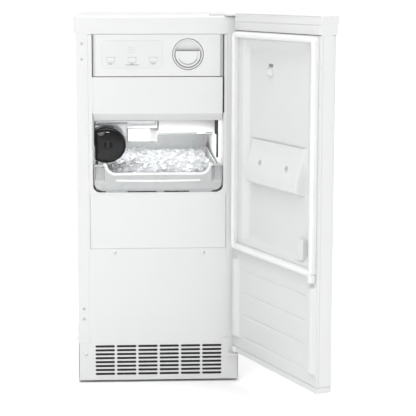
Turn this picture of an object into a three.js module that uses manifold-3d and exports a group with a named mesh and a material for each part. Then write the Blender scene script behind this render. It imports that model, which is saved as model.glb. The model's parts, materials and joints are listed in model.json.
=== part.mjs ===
// Under-counter ice maker with its door swung open, built as separate pieces.
// Millimetres. X runs across the front (hinges at +X), Y from front to back, Z up from the floor.
import * as THREE from 'three';
import { mergeVertices } from 'three/addons/utils/BufferGeometryUtils.js';
import Module from 'manifold-3d';

const wasm = await Module();
wasm.setup();

// ---- driving dimensions -------------------------------------------------
const WIDTH = 378; // cabinet body, side to side
const DEPTH = 572; // cabinet body, front flange to rear panel
const TOP_Z = 864; // top of the cap
const BASE_Z = 5; // underside of the base pan
const CAP_HEIGHT = 40;
const CAP_OVERHANG = 5.5;
const SHEET = 1.5; // painted steel sheet
const PLASTIC = 2.5; // moulded covers
const GAP = 0.4; // assembly clearance

const SIDE = WIDTH / 2;
const FRONT = -DEPTH / 2;
const BACK = DEPTH / 2;
const CAP_Z = TOP_Z - CAP_HEIGHT;

const FLANGE_EDGE = 161.5; // inner edge of the shell's front flanges, from the centre
const OPENING = 151.4; // half width of the framed opening
const FRAME_DEPTH = 17; // front frame, flange plane to liner
const COMPARTMENT_Z = 455; // sill of the ice compartment
const COVER_Z = 621.6; // lower edge of the evaporator cover
const FASCIA_Z = 725.6; // lower edge of the control fascia
const FASCIA_TOP = 821.6;
const GRILLE_TOP = 96;

const DOOR_SIDE = 188; // door half width
const DOOR_Z = 77;
const DOOR_TOP = 870.5;
const DOOR_TRIM_Z = 831; // the top grip starts here
const DOOR_CAP_TOP = 90; // the bottom cap ends here
const DOOR_THICKNESS = 41;
const DOOR_GAP = 15; // cabinet flange to door, filled by the gasket
const DOOR_INNER = FRONT - DOOR_GAP;
const DOOR_OUTER = DOOR_INNER - DOOR_THICKNESS;
const DOOR_OPEN_DEG = 113;
const HINGE = { x: 180, y: FRONT - 17 };

const FILTER = { x: 69, z: 776, cap: 34.9, hole: 36.2 };
const BUTTONS = [['timer', -109], ['clean', -59.6], ['power', -11]];
const BUTTON_Z = 763;
const FAN = { x: -70, z: 114, mouth: 66 };

// ---- finishes -----------------------------------------------------------
const FINISHES = {
  paint: { color: 0xf4f4f2, roughness: 0.35, metalness: 0 },
  white_plastic: { color: 0xf1f1ef, roughness: 0.45, metalness: 0 },
  liner_plastic: { color: 0xe6e7e6, roughness: 0.4, metalness: 0 },
  bin_plastic: { color: 0xdcdedd, roughness: 0.4, metalness: 0 },
  rubber: { color: 0xf0f0ee, roughness: 0.7, metalness: 0 },
  foot_rubber: { color: 0x2a2a2b, roughness: 0.8, metalness: 0 },
  black_gloss: { color: 0x0b0b0c, roughness: 0.12, metalness: 0 },
  black_plastic: { color: 0x1c1d1e, roughness: 0.5, metalness: 0 },
  foam: { color: 0xe8d9a8, roughness: 0.9, metalness: 0 },
  steel: { color: 0xb9bcbf, roughness: 0.35, metalness: 1 },
  copper: { color: 0xb87348, roughness: 0.35, metalness: 1 },
  aluminium: { color: 0xc9ccce, roughness: 0.4, metalness: 1 },
  circuit: { color: 0x2f6b46, roughness: 0.6, metalness: 0 },
};

// ---- shape helpers ------------------------------------------------------
function box(x0, x1, y0, y1, z0, z1) {
  const geometry = new THREE.BoxGeometry(x1 - x0, y1 - y0, z1 - z0);
  return geometry.translate((x0 + x1) / 2, (y0 + y1) / 2, (z0 + z1) / 2);
}

// A round rod along one axis, from start to end, centred on the other two coordinates.
function rod(axis, a, b, start, end, radius, sides = 16) {
  const geometry = new THREE.CylinderGeometry(radius, radius, end - start, sides);
  const middle = (start + end) / 2;
  if (axis === 'x') return geometry.rotateZ(Math.PI / 2).translate(middle, a, b);
  if (axis === 'y') return geometry.translate(a, middle, b);
  return geometry.rotateX(Math.PI / 2).translate(a, b, middle);
}

function outline(points) {
  return new THREE.Shape(points.map(([u, v]) => new THREE.Vector2(u, v)));
}

function roundedRect(u0, u1, v0, v1, radius) {
  const shape = new THREE.Shape();
  shape.absarc(u1 - radius, v0 + radius, radius, -Math.PI / 2, 0);
  shape.absarc(u1 - radius, v1 - radius, radius, 0, Math.PI / 2);
  shape.absarc(u0 + radius, v1 - radius, radius, Math.PI / 2, Math.PI);
  shape.absarc(u0 + radius, v0 + radius, radius, Math.PI, Math.PI * 1.5);
  shape.closePath();
  return shape;
}

// A slot with chamfered ends, as in a punched louvre.
function slot(u, v, width, height) {
  const w = width / 2;
  const h = height / 2;
  const c = h * 0.6;
  return outline([[u + w, v - h + c], [u + w, v + h - c], [u + w - c, v + h], [u - w + c, v + h],
    [u - w, v + h - c], [u - w, v - h + c], [u - w + c, v - h], [u + w - c, v - h]]);
}

function circle(u, v, radius) {
  return new THREE.Shape().absarc(u, v, radius, 0, Math.PI * 2);
}

function extrude(shape, depth, curveSegments) {
  return new THREE.ExtrudeGeometry(shape, { depth, bevelEnabled: false, steps: 1, curveSegments });
}

// Prisms of a shape drawn in the XY, XZ or YZ plane.
function prismZ(shape, z0, z1, segments = 4) {
  return extrude(shape, z1 - z0, segments).translate(0, 0, z0);
}

function prismY(shape, y0, y1, segments = 4) {
  return extrude(shape, y1 - y0, segments).rotateX(Math.PI / 2).translate(0, y1, 0);
}

function prismX(shape, x0, x1, segments = 4) {
  const turn = new THREE.Matrix4().makeBasis(
    new THREE.Vector3(0, 1, 0), new THREE.Vector3(0, 0, 1), new THREE.Vector3(1, 0, 0));
  return extrude(shape, x1 - x0, segments).applyMatrix4(turn).translate(x0, 0, 0);
}

function tube(points, radius, steps, sides = 8) {
  const curve = new THREE.CatmullRomCurve3(points.map((p) => new THREE.Vector3(...p)));
  return new THREE.ExtrudeGeometry(circle(0, 0, radius), {
    steps, extrudePath: curve, bevelEnabled: false, curveSegments: sides / 2,
  });
}

// A turned piece from [radius, height] pairs, standing on Z.
function turned(profile, x, y, sides) {
  const points = profile.map(([r, h]) => new THREE.Vector2(r, h));
  return new THREE.LatheGeometry(points, sides).rotateX(Math.PI / 2).translate(x, y, 0);
}

function solid(geometry) {
  const bare = geometry.clone();
  bare.deleteAttribute('normal');
  bare.deleteAttribute('uv');
  const merged = mergeVertices(bare, 1e-4);
  return new wasm.Manifold(new wasm.Mesh({
    numProp: 3,
    vertProperties: new Float32Array(merged.attributes.position.array),
    triVerts: new Uint32Array(merged.index.array),
  }));
}

function geometryOf(body) {
  const mesh = body.getMesh();
  const geometry = new THREE.BufferGeometry();
  geometry.setAttribute('position', new THREE.BufferAttribute(new Float32Array(mesh.vertProperties), 3));
  geometry.setIndex(new THREE.BufferAttribute(new Uint32Array(mesh.triVerts), 1));
  geometry.computeVertexNormals();
  return geometry;
}

function join(...pieces) {
  return geometryOf(pieces.map(solid).reduce((whole, piece) => whole.add(piece)));
}

function cut(base, ...tools) {
  return geometryOf(tools.map(solid).reduce((whole, tool) => whole.subtract(tool), solid(base)));
}

function mirrorX(geometry) {
  const body = solid(geometry).mirror([1, 0, 0]);
  return geometryOf(body);
}

const icemaker = new THREE.Group();

function add(parent, name, finish, geometry) {
  const mesh = new THREE.Mesh(geometry, new THREE.MeshStandardMaterial(FINISHES[finish]));
  mesh.name = name;
  parent.add(mesh);
  return mesh;
}

// ---- cabinet shell ------------------------------------------------------
function shellSide() {
  const flangeBottom = GRILLE_TOP + GAP;
  const rearLip = BACK - SHEET - GAP;
  return join(
    box(-SIDE, -SIDE + SHEET, FRONT, rearLip, BASE_Z, CAP_Z - GAP),
    box(-SIDE, -FLANGE_EDGE, FRONT, FRONT + SHEET, flangeBottom, CAP_Z - GAP),
    box(-FLANGE_EDGE - SHEET, -FLANGE_EDGE, FRONT, FRONT + 10, flangeBottom, CAP_Z - GAP),
    box(-SIDE, -SIDE + 14, rearLip - SHEET, rearLip, BASE_Z + 22, CAP_Z - GAP));
}

function cabinetShell() {
  const left = shellSide();
  const roof = box(-SIDE, SIDE, FRONT, BACK - SHEET - GAP, CAP_Z - GAP - SHEET, CAP_Z - GAP);
  return join(left, mirrorX(left), roof);
}

function rearPanel() {
  const sheet = outline([[-SIDE + 1, 27], [SIDE - 1, 27], [SIDE - 1, CAP_Z - 1], [-SIDE + 1, CAP_Z - 1]]);
  for (let row = 0; row < 6; row += 1) {
    for (const x of [-95, 0, 95]) {
      sheet.holes.push(slot(x, 234 + row * 22, 72, 7));
    }
  }
  const ports = [[-140, 11], [-85, 9], [145, 11]];
  return cut(prismY(sheet, BACK - SHEET, BACK, 1),
    ...ports.map(([x, radius]) => rod('y', x, 80, BACK - 5, BACK + 5, radius, 16)));
}

function topCap() {
  const edge = 5;
  const wall = 3.5;
  const half = SIDE + CAP_OVERHANG;
  const plan = roundedRect(-half + edge, half - edge, FRONT + edge, BACK - edge, 9);
  const block = new THREE.ExtrudeGeometry(plan, {
    depth: CAP_HEIGHT, bevelEnabled: true, bevelSize: edge, bevelThickness: edge,
    bevelSegments: 3, curveSegments: 4,
  }).translate(0, 0, CAP_Z - edge);
  const skirtEnd = box(-half - 5, half + 5, FRONT - 5, BACK + 5, CAP_Z - 20, CAP_Z + GAP);
  const hollow = box(-half + wall, half - wall, FRONT + wall, BACK - wall, CAP_Z - 20, TOP_Z - wall);
  return cut(block, skirtEnd, hollow);
}

function basePan(legs) {
  const x = SIDE - SHEET - 0.5;
  const y = BACK - 5;
  const tray = cut(
    box(-x, x, -y, y, BASE_Z, BASE_Z + 19),
    box(-x + SHEET, x - SHEET, -y + SHEET, y - SHEET, BASE_Z + SHEET, BASE_Z + 30));
  const bosses = legs.map(([lx, ly]) => rod('z', lx, ly, BASE_Z + 0.5, BASE_Z + 12, 9, 12));
  const holes = legs.map(([lx, ly]) => rod('z', lx, ly, BASE_Z - 2, BASE_Z + 20, 4.7, 12));
  return cut(join(tray, ...bosses), ...holes);
}

function foam() {
  const outer = box(-SIDE + 2.3, SIDE - 2.3, FRONT + FRAME_DEPTH + 1, 212, 416, 717);
  return cut(outer, box(-OPENING - 0.4, OPENING + 0.4, FRONT, 175.8, COMPARTMENT_Z - 3.6, 692.8));
}

function liner() {
  const outer = box(-OPENING, OPENING, FRONT + FRAME_DEPTH + 0.5, 175.2, COMPARTMENT_Z - 3.2, 692.2);
  const wall = 2.2;
  return cut(outer, box(-OPENING + wall, OPENING - wall, FRONT, 175.2 - wall, COMPARTMENT_Z - 1, 690));
}

// White frame round the ice compartment, the evaporator cover and the controls.
function frontFrame() {
  const corner = 17;
  const plate = roundedRect(-FLANGE_EDGE + 0.6, FLANGE_EDGE - 0.6, COMPARTMENT_Z - 3.4, FASCIA_TOP, 1);
  const face = prismY(plate, FRONT, FRONT + FRAME_DEPTH, 2);
  const hole = roundedRect(-OPENING, OPENING, COMPARTMENT_Z, FASCIA_TOP + 60, corner);
  return cut(face, prismY(hole, FRONT - 5, FRONT + FRAME_DEPTH + 5, 5));
}

// ---- lower panels -------------------------------------------------------
function pan(halfWidth, z0, z1, depth, holes) {
  const shell = cut(
    box(-halfWidth, halfWidth, FRONT, FRONT + depth, z0, z1),
    box(-halfWidth + SHEET, halfWidth - SHEET, FRONT + SHEET, FRONT + depth + 5, z0 + SHEET, z1 - SHEET));
  if (holes.length === 0) return shell;
  return cut(shell, ...holes.map(([x, z]) => rod('y', x, z, FRONT - 2, FRONT + 8, 2.6, 10)));
}

function screw(x, z) {
  const head = rod('y', x, z, FRONT - 2.4, FRONT - 0.3, 4.6, 12);
  const shank = rod('y', x, z, FRONT - 1, FRONT + 11, 1.9, 8);
  return cut(join(head, shank), box(x - 3, x + 3, FRONT - 4, FRONT - 1.5, z - 0.5, z + 0.5));
}

function toeGrille() {
  const halfWidth = SIDE - SHEET - 0.7;
  const columns = 6;
  const rows = 8;
  const pitchX = 50.5;
  const pitchZ = 9.55;
  const slotWidth = 46;
  const slotHeight = 5.7;
  const firstRow = 20.5;
  const sheet = outline([
    [-halfWidth, BASE_Z + 0.5], [halfWidth, BASE_Z + 0.5], [halfWidth, GRILLE_TOP], [-halfWidth, GRILLE_TOP]]);
  for (let column = 0; column < columns; column += 1) {
    const x = (column - (columns - 1) / 2) * pitchX;
    for (let row = 0; row < rows; row += 1) {
      sheet.holes.push(slot(x, firstRow + row * pitchZ, slotWidth, slotHeight));
    }
  }
  return prismY(sheet, FRONT, FRONT + 2.4, 1);
}

// ---- controls -----------------------------------------------------------
function buttonOutline(x, clearance) {
  return roundedRect(x - 9.4 - clearance, x + 9.4 + clearance,
    BUTTON_Z - 4.7 - clearance, BUTTON_Z + 4.7 + clearance, 3 + clearance);
}

function controlFascia() {
  const half = OPENING - 0.9;
  const face = 142.5;
  const rear = FRONT + 20;
  const plan = outline([[-half, rear], [-half, FRONT + 5], [-face, FRONT - 1], [face, FRONT - 1],
    [half, FRONT + 5], [half, rear]]);
  const inner = outline([[-half + PLASTIC, rear + 5], [-half + PLASTIC, FRONT + 6], [-face + 1, FRONT + 1.8],
    [face - 1, FRONT + 1.8], [half - PLASTIC, FRONT + 6], [half - PLASTIC, rear + 5]]);
  const holes = BUTTONS.map(([, x]) => prismY(buttonOutline(x, 0.5), FRONT - 5, FRONT + 5));
  return cut(
    prismZ(plan, FASCIA_Z, FASCIA_TOP),
    prismZ(inner, FASCIA_Z + PLASTIC, FASCIA_TOP - PLASTIC),
    prismY(roundedRect(-130, 11, 744, 807.6, 7), FRONT - 5, FRONT - 0.1),
    rod('y', FILTER.x, FILTER.z, FRONT - 5, FRONT + 10, FILTER.hole, 32),
    ...holes);
}

function controlOverlay() {
  const shape = roundedRect(-129.6, 10.6, 744.4, 807.2, 6.6);
  const holes = BUTTONS.map(([, x]) => prismY(buttonOutline(x, 0.4), FRONT - 5, FRONT + 5));
  return cut(prismY(shape, FRONT - 1, FRONT - 0.4), ...holes);
}

function button(x) {
  return join(
    prismY(buttonOutline(x, 0), FRONT - 2, FRONT + 3),
    box(x - 3, x + 3, FRONT + 2, FRONT + 7, BUTTON_Z - 2, BUTTON_Z + 2));
}

function controlBoard() {
  const plate = box(-136, 18, FRONT + 22, FRONT + 23.6, 733, 812);
  const switches = BUTTONS.map(([, x]) => box(x - 4, x + 4, FRONT + 9, FRONT + 23, BUTTON_Z - 4, BUTTON_Z + 4));
  const relays = [-125, -100].map((x) => box(x, x + 18, FRONT + 8, FRONT + 23, 780, 806));
  const lamps = rod('y', -40, 790, FRONT + 8, FRONT + 23, 6, 10);
  return join(plate, ...switches, ...relays, lamps);
}

function controlBox() {
  return cut(
    box(-143, 24, FRONT + 25, FRONT + 110, 722, 820),
    box(-141, 22, FRONT + 20, FRONT + 108, 724, 818));
}

function filterHousing() {
  const tubeBody = rod('y', FILTER.x, FILTER.z, FRONT + 8, FRONT + 280, 40, 24);
  return cut(tubeBody, rod('y', FILTER.x, FILTER.z, FRONT, FRONT + 275, 36.5, 24));
}

function filterCartridge() {
  const profile = [[0, 7], [20, 7], [20, 14], [33, 18], [33, 240], [24, 252], [9, 254], [9, 268], [0, 268]];
  const points = profile.map(([r, h]) => new THREE.Vector2(r, h));
  return new THREE.LatheGeometry(points, 20).translate(FILTER.x, FRONT, FILTER.z);
}

// Round cap whose lower half stands proud, so its straight upper edge is the finger grip.
function filterCap() {
  const disc = rod('y', FILTER.x, FILTER.z, FRONT - 1, FRONT + 6.4, FILTER.cap, 32);
  const dish = rod('y', FILTER.x, FILTER.z, FRONT - 3, FRONT + 2.5, FILTER.cap - 4, 32);
  const gripShape = new THREE.Shape();
  const gripRadius = FILTER.cap - 5;
  const gripTop = Math.asin(7 / gripRadius);
  gripShape.absarc(0, 0, gripRadius, Math.PI - gripTop, Math.PI * 2 + gripTop);
  gripShape.closePath();
  const grip = prismY(gripShape, FRONT - 5, FRONT + 4, 16).translate(FILTER.x, 0, FILTER.z);
  return join(cut(disc, dish), grip);
}

// ---- ice machine --------------------------------------------------------
function evaporatorCover() {
  const bevel = 639;
  const top = FASCIA_Z - 1.6;
  const skin = outline([
    [FRONT - 0.5, top], [FRONT - 0.5, bevel], [FRONT + 14, COVER_Z], [FRONT + 17, COVER_Z + 1.8],
    [FRONT - 0.5 + PLASTIC, bevel + 1.2], [FRONT - 0.5 + PLASTIC, top - PLASTIC],
    [FRONT + 14, top - PLASTIC], [FRONT + 14, top]]);
  return prismX(skin, -OPENING + 1.6, OPENING - 1.6);
}

function evaporatorPlate() {
  const pieces = [box(-110, 110, -130, 130, -1.5, 1.5)];
  for (let row = 0; row < 7; row += 1) {
    pieces.push(rod('x', -108 + row * 36, 3.5, -106, 106, 4, 8));
  }
  return join(...pieces);
}

function waterDistributor() {
  return join(rod('x', 122, 679, -106, 106, 6, 10), rod('x', 122, 679, -112, -105, 8, 10));
}

function cutterGrid() {
  const cells = [];
  for (let column = 0; column < 5; column += 1) {
    for (let row = 0; row < 3; row += 1) {
      const x = -134 + column * 25.2;
      const y = -218 + row * 22;
      cells.push(box(x, x + 23, y, y + 20, 600, 630));
    }
  }
  return cut(box(-138, -6, -222, -150, 611, 616), ...cells);
}

function gridBracket() {
  return join(
    box(-72, -1, -236, -228, 600, 607.5),
    box(-149, -70, -236, -228, 606.8, 611),
    box(-149, -146, -236, -190, 606.8, 640),
    box(-4, -1, -236, -190, 600, 640));
}

// Trough that holds the water running over the evaporator.
function waterReservoir() {
  return cut(
    box(2.5, 136.5, -230, -150, 589.3, 621),
    box(5, 134, -227.5, -152.5, 592, 640));
}

// Housing of the circulation pump, tapering towards the front.
function pumpHousing() {
  const front = [[-71, 568.7], [-17.7, 568.7], [-17.7, 599.2], [-71, 599.2]];
  const rear = [[-72, 560], [1.8, 560], [1.8, 599.2], [-72, 599.2]];
  const yFront = -230;
  const yRear = -170;
  const corners = [...front.map(([x, z]) => [x, yFront, z]), ...rear.map(([x, z]) => [x, yRear, z])];
  const geometry = new THREE.BufferGeometry();
  geometry.setAttribute('position', new THREE.Float32BufferAttribute(corners.flat(), 3));
  geometry.setIndex([0, 1, 2, 0, 2, 3, 5, 4, 7, 5, 7, 6, 4, 0, 3, 4, 3, 7,
    1, 5, 6, 1, 6, 2, 4, 5, 1, 4, 1, 0, 3, 2, 6, 3, 6, 7]);
  geometry.computeVertexNormals();
  return geometry;
}

function scoopHolder() {
  return join(
    box(-149, -147.6, -245, -180, 560, 604),
    box(-148, -112, -240, -190, 593, 597.5),
    box(-115, -112, -240, -190, 588, 596));
}

// ---- ice bin and scoop --------------------------------------------------
const BIN = { side: 141, front: FRONT + 7.5, rear: 140, floor: 457, wall: 3, height: 518, face: 149.4 };

// Space above the bin's lip: the front edge dips between two raised ends.
function binDip() {
  const shape = new THREE.Shape();
  shape.moveTo(-BIN.face - 5, 600);
  shape.lineTo(-BIN.face - 5, 519);
  shape.lineTo(-126, 519);
  shape.lineTo(-122, 521);
  shape.quadraticCurveTo(-115, 497, -98, 496.5);
  shape.lineTo(98, 496.5);
  shape.quadraticCurveTo(115, 497, 122, 521);
  shape.lineTo(126, 519);
  shape.lineTo(BIN.face + 5, 519);
  shape.lineTo(BIN.face + 5, 600);
  shape.closePath();
  return prismY(shape, BIN.front - 20, BIN.front + 6, 6);
}

function iceBin() {
  const tub = cut(
    box(-BIN.side, BIN.side, BIN.front, BIN.rear, BIN.floor, BIN.height),
    box(-BIN.side + BIN.wall, BIN.side - BIN.wall, BIN.front + BIN.wall, BIN.rear - BIN.wall,
      BIN.floor + BIN.wall, BIN.height + 5));
  const rearWall = box(-70, BIN.side, BIN.rear - BIN.wall, BIN.rear, BIN.floor, 540);
  const face = prismY(roundedRect(-BIN.face, BIN.face, BIN.floor + 1, 530, 16), BIN.front - 6, BIN.front + 0.5);
  const rib = box(-98, 98, BIN.front - 9, BIN.front - 5, 480, 485.5);
  return cut(join(tub, rearWall, face, rib), binDip());
}

const SCOOP = { x: -120.5, z: 564.2, round: 46, tall: 41.8, flat: -147, front: FRONT + 18, rear: -150 };

// D-shaped section of the scoop's bowl: flat towards the wall, round towards the middle.
function scoopSection(inset) {
  const shape = new THREE.Shape();
  const start = Math.acos((SCOOP.flat - SCOOP.x) / SCOOP.round);
  shape.absellipse(SCOOP.x, SCOOP.z, SCOOP.round - inset, SCOOP.tall - inset, -start, start);
  shape.closePath();
  return shape;
}

function iceScoop() {
  const bowl = prismY(scoopSection(0), SCOOP.front, SCOOP.rear, 10);
  const domeStep = prismY(scoopSection(7), SCOOP.front - 7, SCOOP.front + 1, 10);
  const knob = rod('y', SCOOP.x + 6, SCOOP.z, FRONT + 2, SCOOP.front + 1, 10, 14);
  const inside = prismY(scoopSection(2.6), SCOOP.front + 3, SCOOP.rear + 20, 10);
  const openSide = box(SCOOP.flat - 20, SCOOP.flat + 6, SCOOP.front + 12, SCOOP.rear + 20, 500, 640);
  const lip = prismZ(outline([[SCOOP.flat - 5, SCOOP.rear - 50], [-70, SCOOP.rear],
    [-70, SCOOP.rear + 20], [SCOOP.flat - 5, SCOOP.rear + 20]]), 500, 640);
  return cut(join(bowl, domeStep, knob), inside, openSide, lip);
}

// ---- refrigeration and water --------------------------------------------
function compressor(x, y) {
  const can = turned([[0, 44], [52, 46], [68, 58], [72, 80], [74, 118], [74, 124], [70, 128],
    [66, 168], [50, 190], [20, 198], [0, 199]], x, y, 20);
  return join(can, box(x - 82, x + 82, y - 62, y + 62, 40, 46), rod('z', x, y, 42, 60, 40, 12));
}

function condenser() {
  const block = box(-170, 30, -262, -212, 38, 190);
  const slits = [];
  for (let fin = 0; fin < 16; fin += 1) {
    const x = -160 + fin * 12;
    slits.push(box(x, x + 8, -270, -230, 46, 182));
  }
  return cut(block, ...slits);
}

function fanShroud() {
  const plate = cut(
    box(-165, 25, -204, -172, 38, 190),
    box(-162, 22, -210, -176, 41, 187),
    rod('y', FAN.x, FAN.z, -210, -160, FAN.mouth, 24));
  return plate;
}

function fanMotor() {
  return join(
    rod('y', FAN.x, FAN.z, -148, -112, 24, 16),
    box(-150, 10, -138, -132, FAN.z - 8, FAN.z + 8),
    box(-150, -140, -171.5, -132, FAN.z - 12, FAN.z + 12),
    box(0, 10, -171.5, -132, FAN.z - 12, FAN.z + 12));
}

function fanBlade() {
  const pieces = [rod('y', FAN.x, FAN.z, -199, -151, 13, 14)];
  const count = 5;
  for (let blade = 0; blade < count; blade += 1) {
    const paddle = new THREE.BoxGeometry(50, 2, 30).rotateX(0.6).translate(36, -183, 0);
    paddle.rotateY((blade / count) * Math.PI * 2);
    pieces.push(paddle.translate(FAN.x, 0, FAN.z));
  }
  return join(...pieces);
}

function filterDrier() {
  return turned([[0, 60], [4, 60], [4, 70], [13, 78], [13, 130], [4, 138], [4, 148], [0, 148]], 150, -60, 12);
}

function inletValve() {
  return join(
    box(-155, -125, 250, 276, 66, 94),
    rod('y', -140, 80, 270, BACK + 12, 9, 12),
    rod('z', -140, 262, 90, 124, 13, 12));
}

function drainPump() {
  return join(
    box(-160, -90, 130, 200, 26.6, 74),
    rod('z', -125, 165, 70, 118, 26, 16),
    rod('y', -85, 80, 195, BACK + 14, 7, 10),
    box(-96, -80, 190, 205, 60, 90));
}

function powerInlet() {
  return join(
    rod('y', 145, 80, BACK + 0.3, BACK + 10, 14, 12),
    rod('y', 145, 80, BACK - 20, BACK + 1, 10.4, 12));
}

// ---- door, drawn closed -------------------------------------------------
const TRAY = { side: 150, low: 341, high: 814, depth: 10 };

// Plan outline of the door: square at the back, round at the two front edges.
function doorPlan(inset, backEdge, radius) {
  const x = DOOR_SIDE - inset;
  const y = DOOR_OUTER + inset;
  const shape = new THREE.Shape();
  shape.moveTo(x, backEdge);
  shape.lineTo(-x, backEdge);
  shape.absarc(-x + radius, y + radius, radius, Math.PI, Math.PI * 1.5);
  shape.absarc(x - radius, y + radius, radius, Math.PI * 1.5, Math.PI * 2);
  shape.closePath();
  return shape;
}

function doorSkin() {
  const z0 = DOOR_CAP_TOP + GAP;
  const z1 = DOOR_TRIM_Z - GAP;
  return cut(
    prismZ(doorPlan(0, DOOR_INNER, 13), z0, z1, 5),
    prismZ(doorPlan(SHEET, DOOR_INNER + 5, 11.5), z0 - 5, z1 + 5, 5));
}

function doorFoam() {
  const block = prismZ(doorPlan(SHEET + GAP, DOOR_INNER - 4, 11), DOOR_CAP_TOP + 1, DOOR_TRIM_Z - 1, 3);
  const tray = box(-TRAY.side - 3, TRAY.side + 3, DOOR_INNER - 17, DOOR_INNER, TRAY.low - 3, TRAY.high + 3);
  return cut(block, tray);
}

// Inner door liner: a shallow tray above, four ribs and two side rails below.
function doorLiner() {
  const x = DOOR_SIDE - SHEET - GAP;
  const back = DOOR_INNER - 3;
  const plate = box(-x, x, back, DOOR_INNER, DOOR_CAP_TOP + 1, DOOR_TRIM_Z - 1);
  const trayBox = box(-TRAY.side, TRAY.side, back - TRAY.depth, back + 0.5, TRAY.low, TRAY.high);
  const hollow = box(-TRAY.side + 3, TRAY.side - 3, back - TRAY.depth + 2.5, DOOR_INNER + 5,
    TRAY.low + 3, TRAY.high - 3);
  const ribs = [121, 173, 225, 279].map((z) => box(-132, 132, DOOR_INNER - 0.5, DOOR_INNER + 3, z - 3, z + 3));
  const rails = [-1, 1].map((s) => box(s * 160 - 12, s * 160 + 12, DOOR_INNER - 0.5, DOOR_INNER + 6, 113, 308));
  return cut(join(plate, trayBox, ...ribs, ...rails), hollow);
}

function doorGasket() {
  const outer = 179;
  const band = 12.5;
  const ring = roundedRect(-outer, outer, 327, 828, 4);
  ring.holes.push(roundedRect(-outer + band, outer - band, 327 + band, 828 - band, 3));
  return prismY(ring, DOOR_INNER + GAP, FRONT - 1, 2);
}

function hingeEar(z0, z1) {
  return rod('z', HINGE.x, HINGE.y, z0, z1, 8.5, 16);
}

function doorTopGrip() {
  const lip = 5;
  const profile = outline([
    [DOOR_INNER, DOOR_TRIM_Z], [DOOR_INNER, DOOR_TOP], [DOOR_OUTER - lip, DOOR_TOP],
    [DOOR_OUTER - lip, DOOR_TOP - 16], [DOOR_OUTER, DOOR_TOP - 20], [DOOR_OUTER, DOOR_TRIM_Z]]);
  const notch = box(HINGE.x - 28, DOOR_SIDE + 5, HINGE.y - 14, FRONT, 863.4, DOOR_TOP + 5);
  const pinHole = rod('z', HINGE.x, HINGE.y, 845, DOOR_TOP + 5, 4.5, 16);
  return cut(join(prismX(profile, -DOOR_SIDE, DOOR_SIDE), hingeEar(DOOR_TRIM_Z, DOOR_TOP - 1)), notch, pinHole);
}

function doorBottomCap() {
  const pinHole = rod('z', HINGE.x, HINGE.y, DOOR_Z - 5, 88, 4.5, 16);
  const block = prismZ(doorPlan(0, DOOR_INNER, 13), DOOR_Z, DOOR_CAP_TOP, 5);
  return cut(join(block, hingeEar(DOOR_Z, DOOR_CAP_TOP)), pinHole);
}

// Wedge that steers falling ice back into the bin.
function iceDeflector() {
  const base = DOOR_INNER - 10;
  const profile = outline([
    [base, 590], [base + 24, 502], [base + 24, 494], [base + 19, 488], [base, 486]]);
  const sockets = [-58, 58].map((x) => rod('y', x, 535, base + 4, base + 30, 4.5, 12));
  return cut(prismX(profile, -118, 118), ...sockets);
}

function doorMagnet() {
  const base = DOOR_INNER - 10;
  const profile = outline([[base, 767], [base + 8, 764], [base + 14, 742], [base + 10, 731], [base, 729]]);
  return prismX(profile, 24, 46);
}

function doorClip() {
  const base = DOOR_INNER - 10;
  const block = box(-125, -103, base, base + 14, 352, 397);
  return cut(block, box(-120, -108, base + 4, base + 20, 360, 389));
}

function upperHinge() {
  const z = TOP_Z + 0.4;
  const plate = box(154, SIDE - 1, HINGE.y - 9, FRONT + 40, z, z + 3);
  const rearWing = box(120, SIDE - 1, FRONT + 12, FRONT + 40, z, z + 3);
  return join(plate, rearWing, rod('z', HINGE.x, HINGE.y, 848, z + 1, 4, 16));
}

function lowerHinge() {
  const plateTop = 106;
  const face = FRONT - 0.4;
  return join(
    box(150, SIDE - 1, face - 2.5, face, 62, plateTop),
    box(164, SIDE - 1, HINGE.y - 9, face, 70, 73),
    rod('z', HINGE.x, HINGE.y, 72, 86, 4, 16));
}

// ---- assembly -----------------------------------------------------------
const LEGS = [[-150, -240], [150, -240], [-150, 240], [150, 240]];
const LEG_NAMES = ['leg_front_left', 'leg_front_right', 'leg_rear_left', 'leg_rear_right'];

function addCabinet() {
  add(icemaker, 'cabinet_shell', 'paint', cabinetShell());
  add(icemaker, 'rear_panel', 'steel', rearPanel());
  add(icemaker, 'top_cap', 'paint', topCap());
  add(icemaker, 'base_pan', 'steel', basePan(LEGS));
  add(icemaker, 'foam_insulation', 'foam', foam());
  add(icemaker, 'compartment_liner', 'liner_plastic', liner());
  add(icemaker, 'front_frame', 'white_plastic', frontFrame());
  LEGS.forEach(([x, y], index) => {
    const leg = turned([[0, 0], [15, 0], [15, 2.8], [4, 2.8], [4, 34], [0, 34]], x, y, 12);
    add(icemaker, LEG_NAMES[index], 'foot_rubber', leg);
  });
}

function addFrontPanels() {
  const ledge = (side) => box(side * 159.2 - 2, side * 159.2 + 2, FRONT + 2, FRONT + 3.5, 322.8, 450.8);
  const upperPanel = join(pan(157.5, 322.8, 450.8, 14, []), ledge(-1), ledge(1));
  add(icemaker, 'upper_front_panel', 'paint', upperPanel);
  const screws = [['left', -102, 312], ['right', 105, 312]];
  add(icemaker, 'service_panel', 'paint', pan(160.8, 97, 322, 12, screws.map(([, x, z]) => [x, z])));
  for (const [side, x, z] of screws) {
    add(icemaker, `service_panel_screw_${side}`, 'steel', screw(x, z));
  }
  const grilleScrew = [-171, 67.5];
  const grille = cut(toeGrille(), rod('y', ...grilleScrew, FRONT - 2, FRONT + 8, 2.6, 10));
  add(icemaker, 'toe_grille', 'paint', grille);
  add(icemaker, 'grille_screw', 'steel', screw(...grilleScrew));
}

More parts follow.
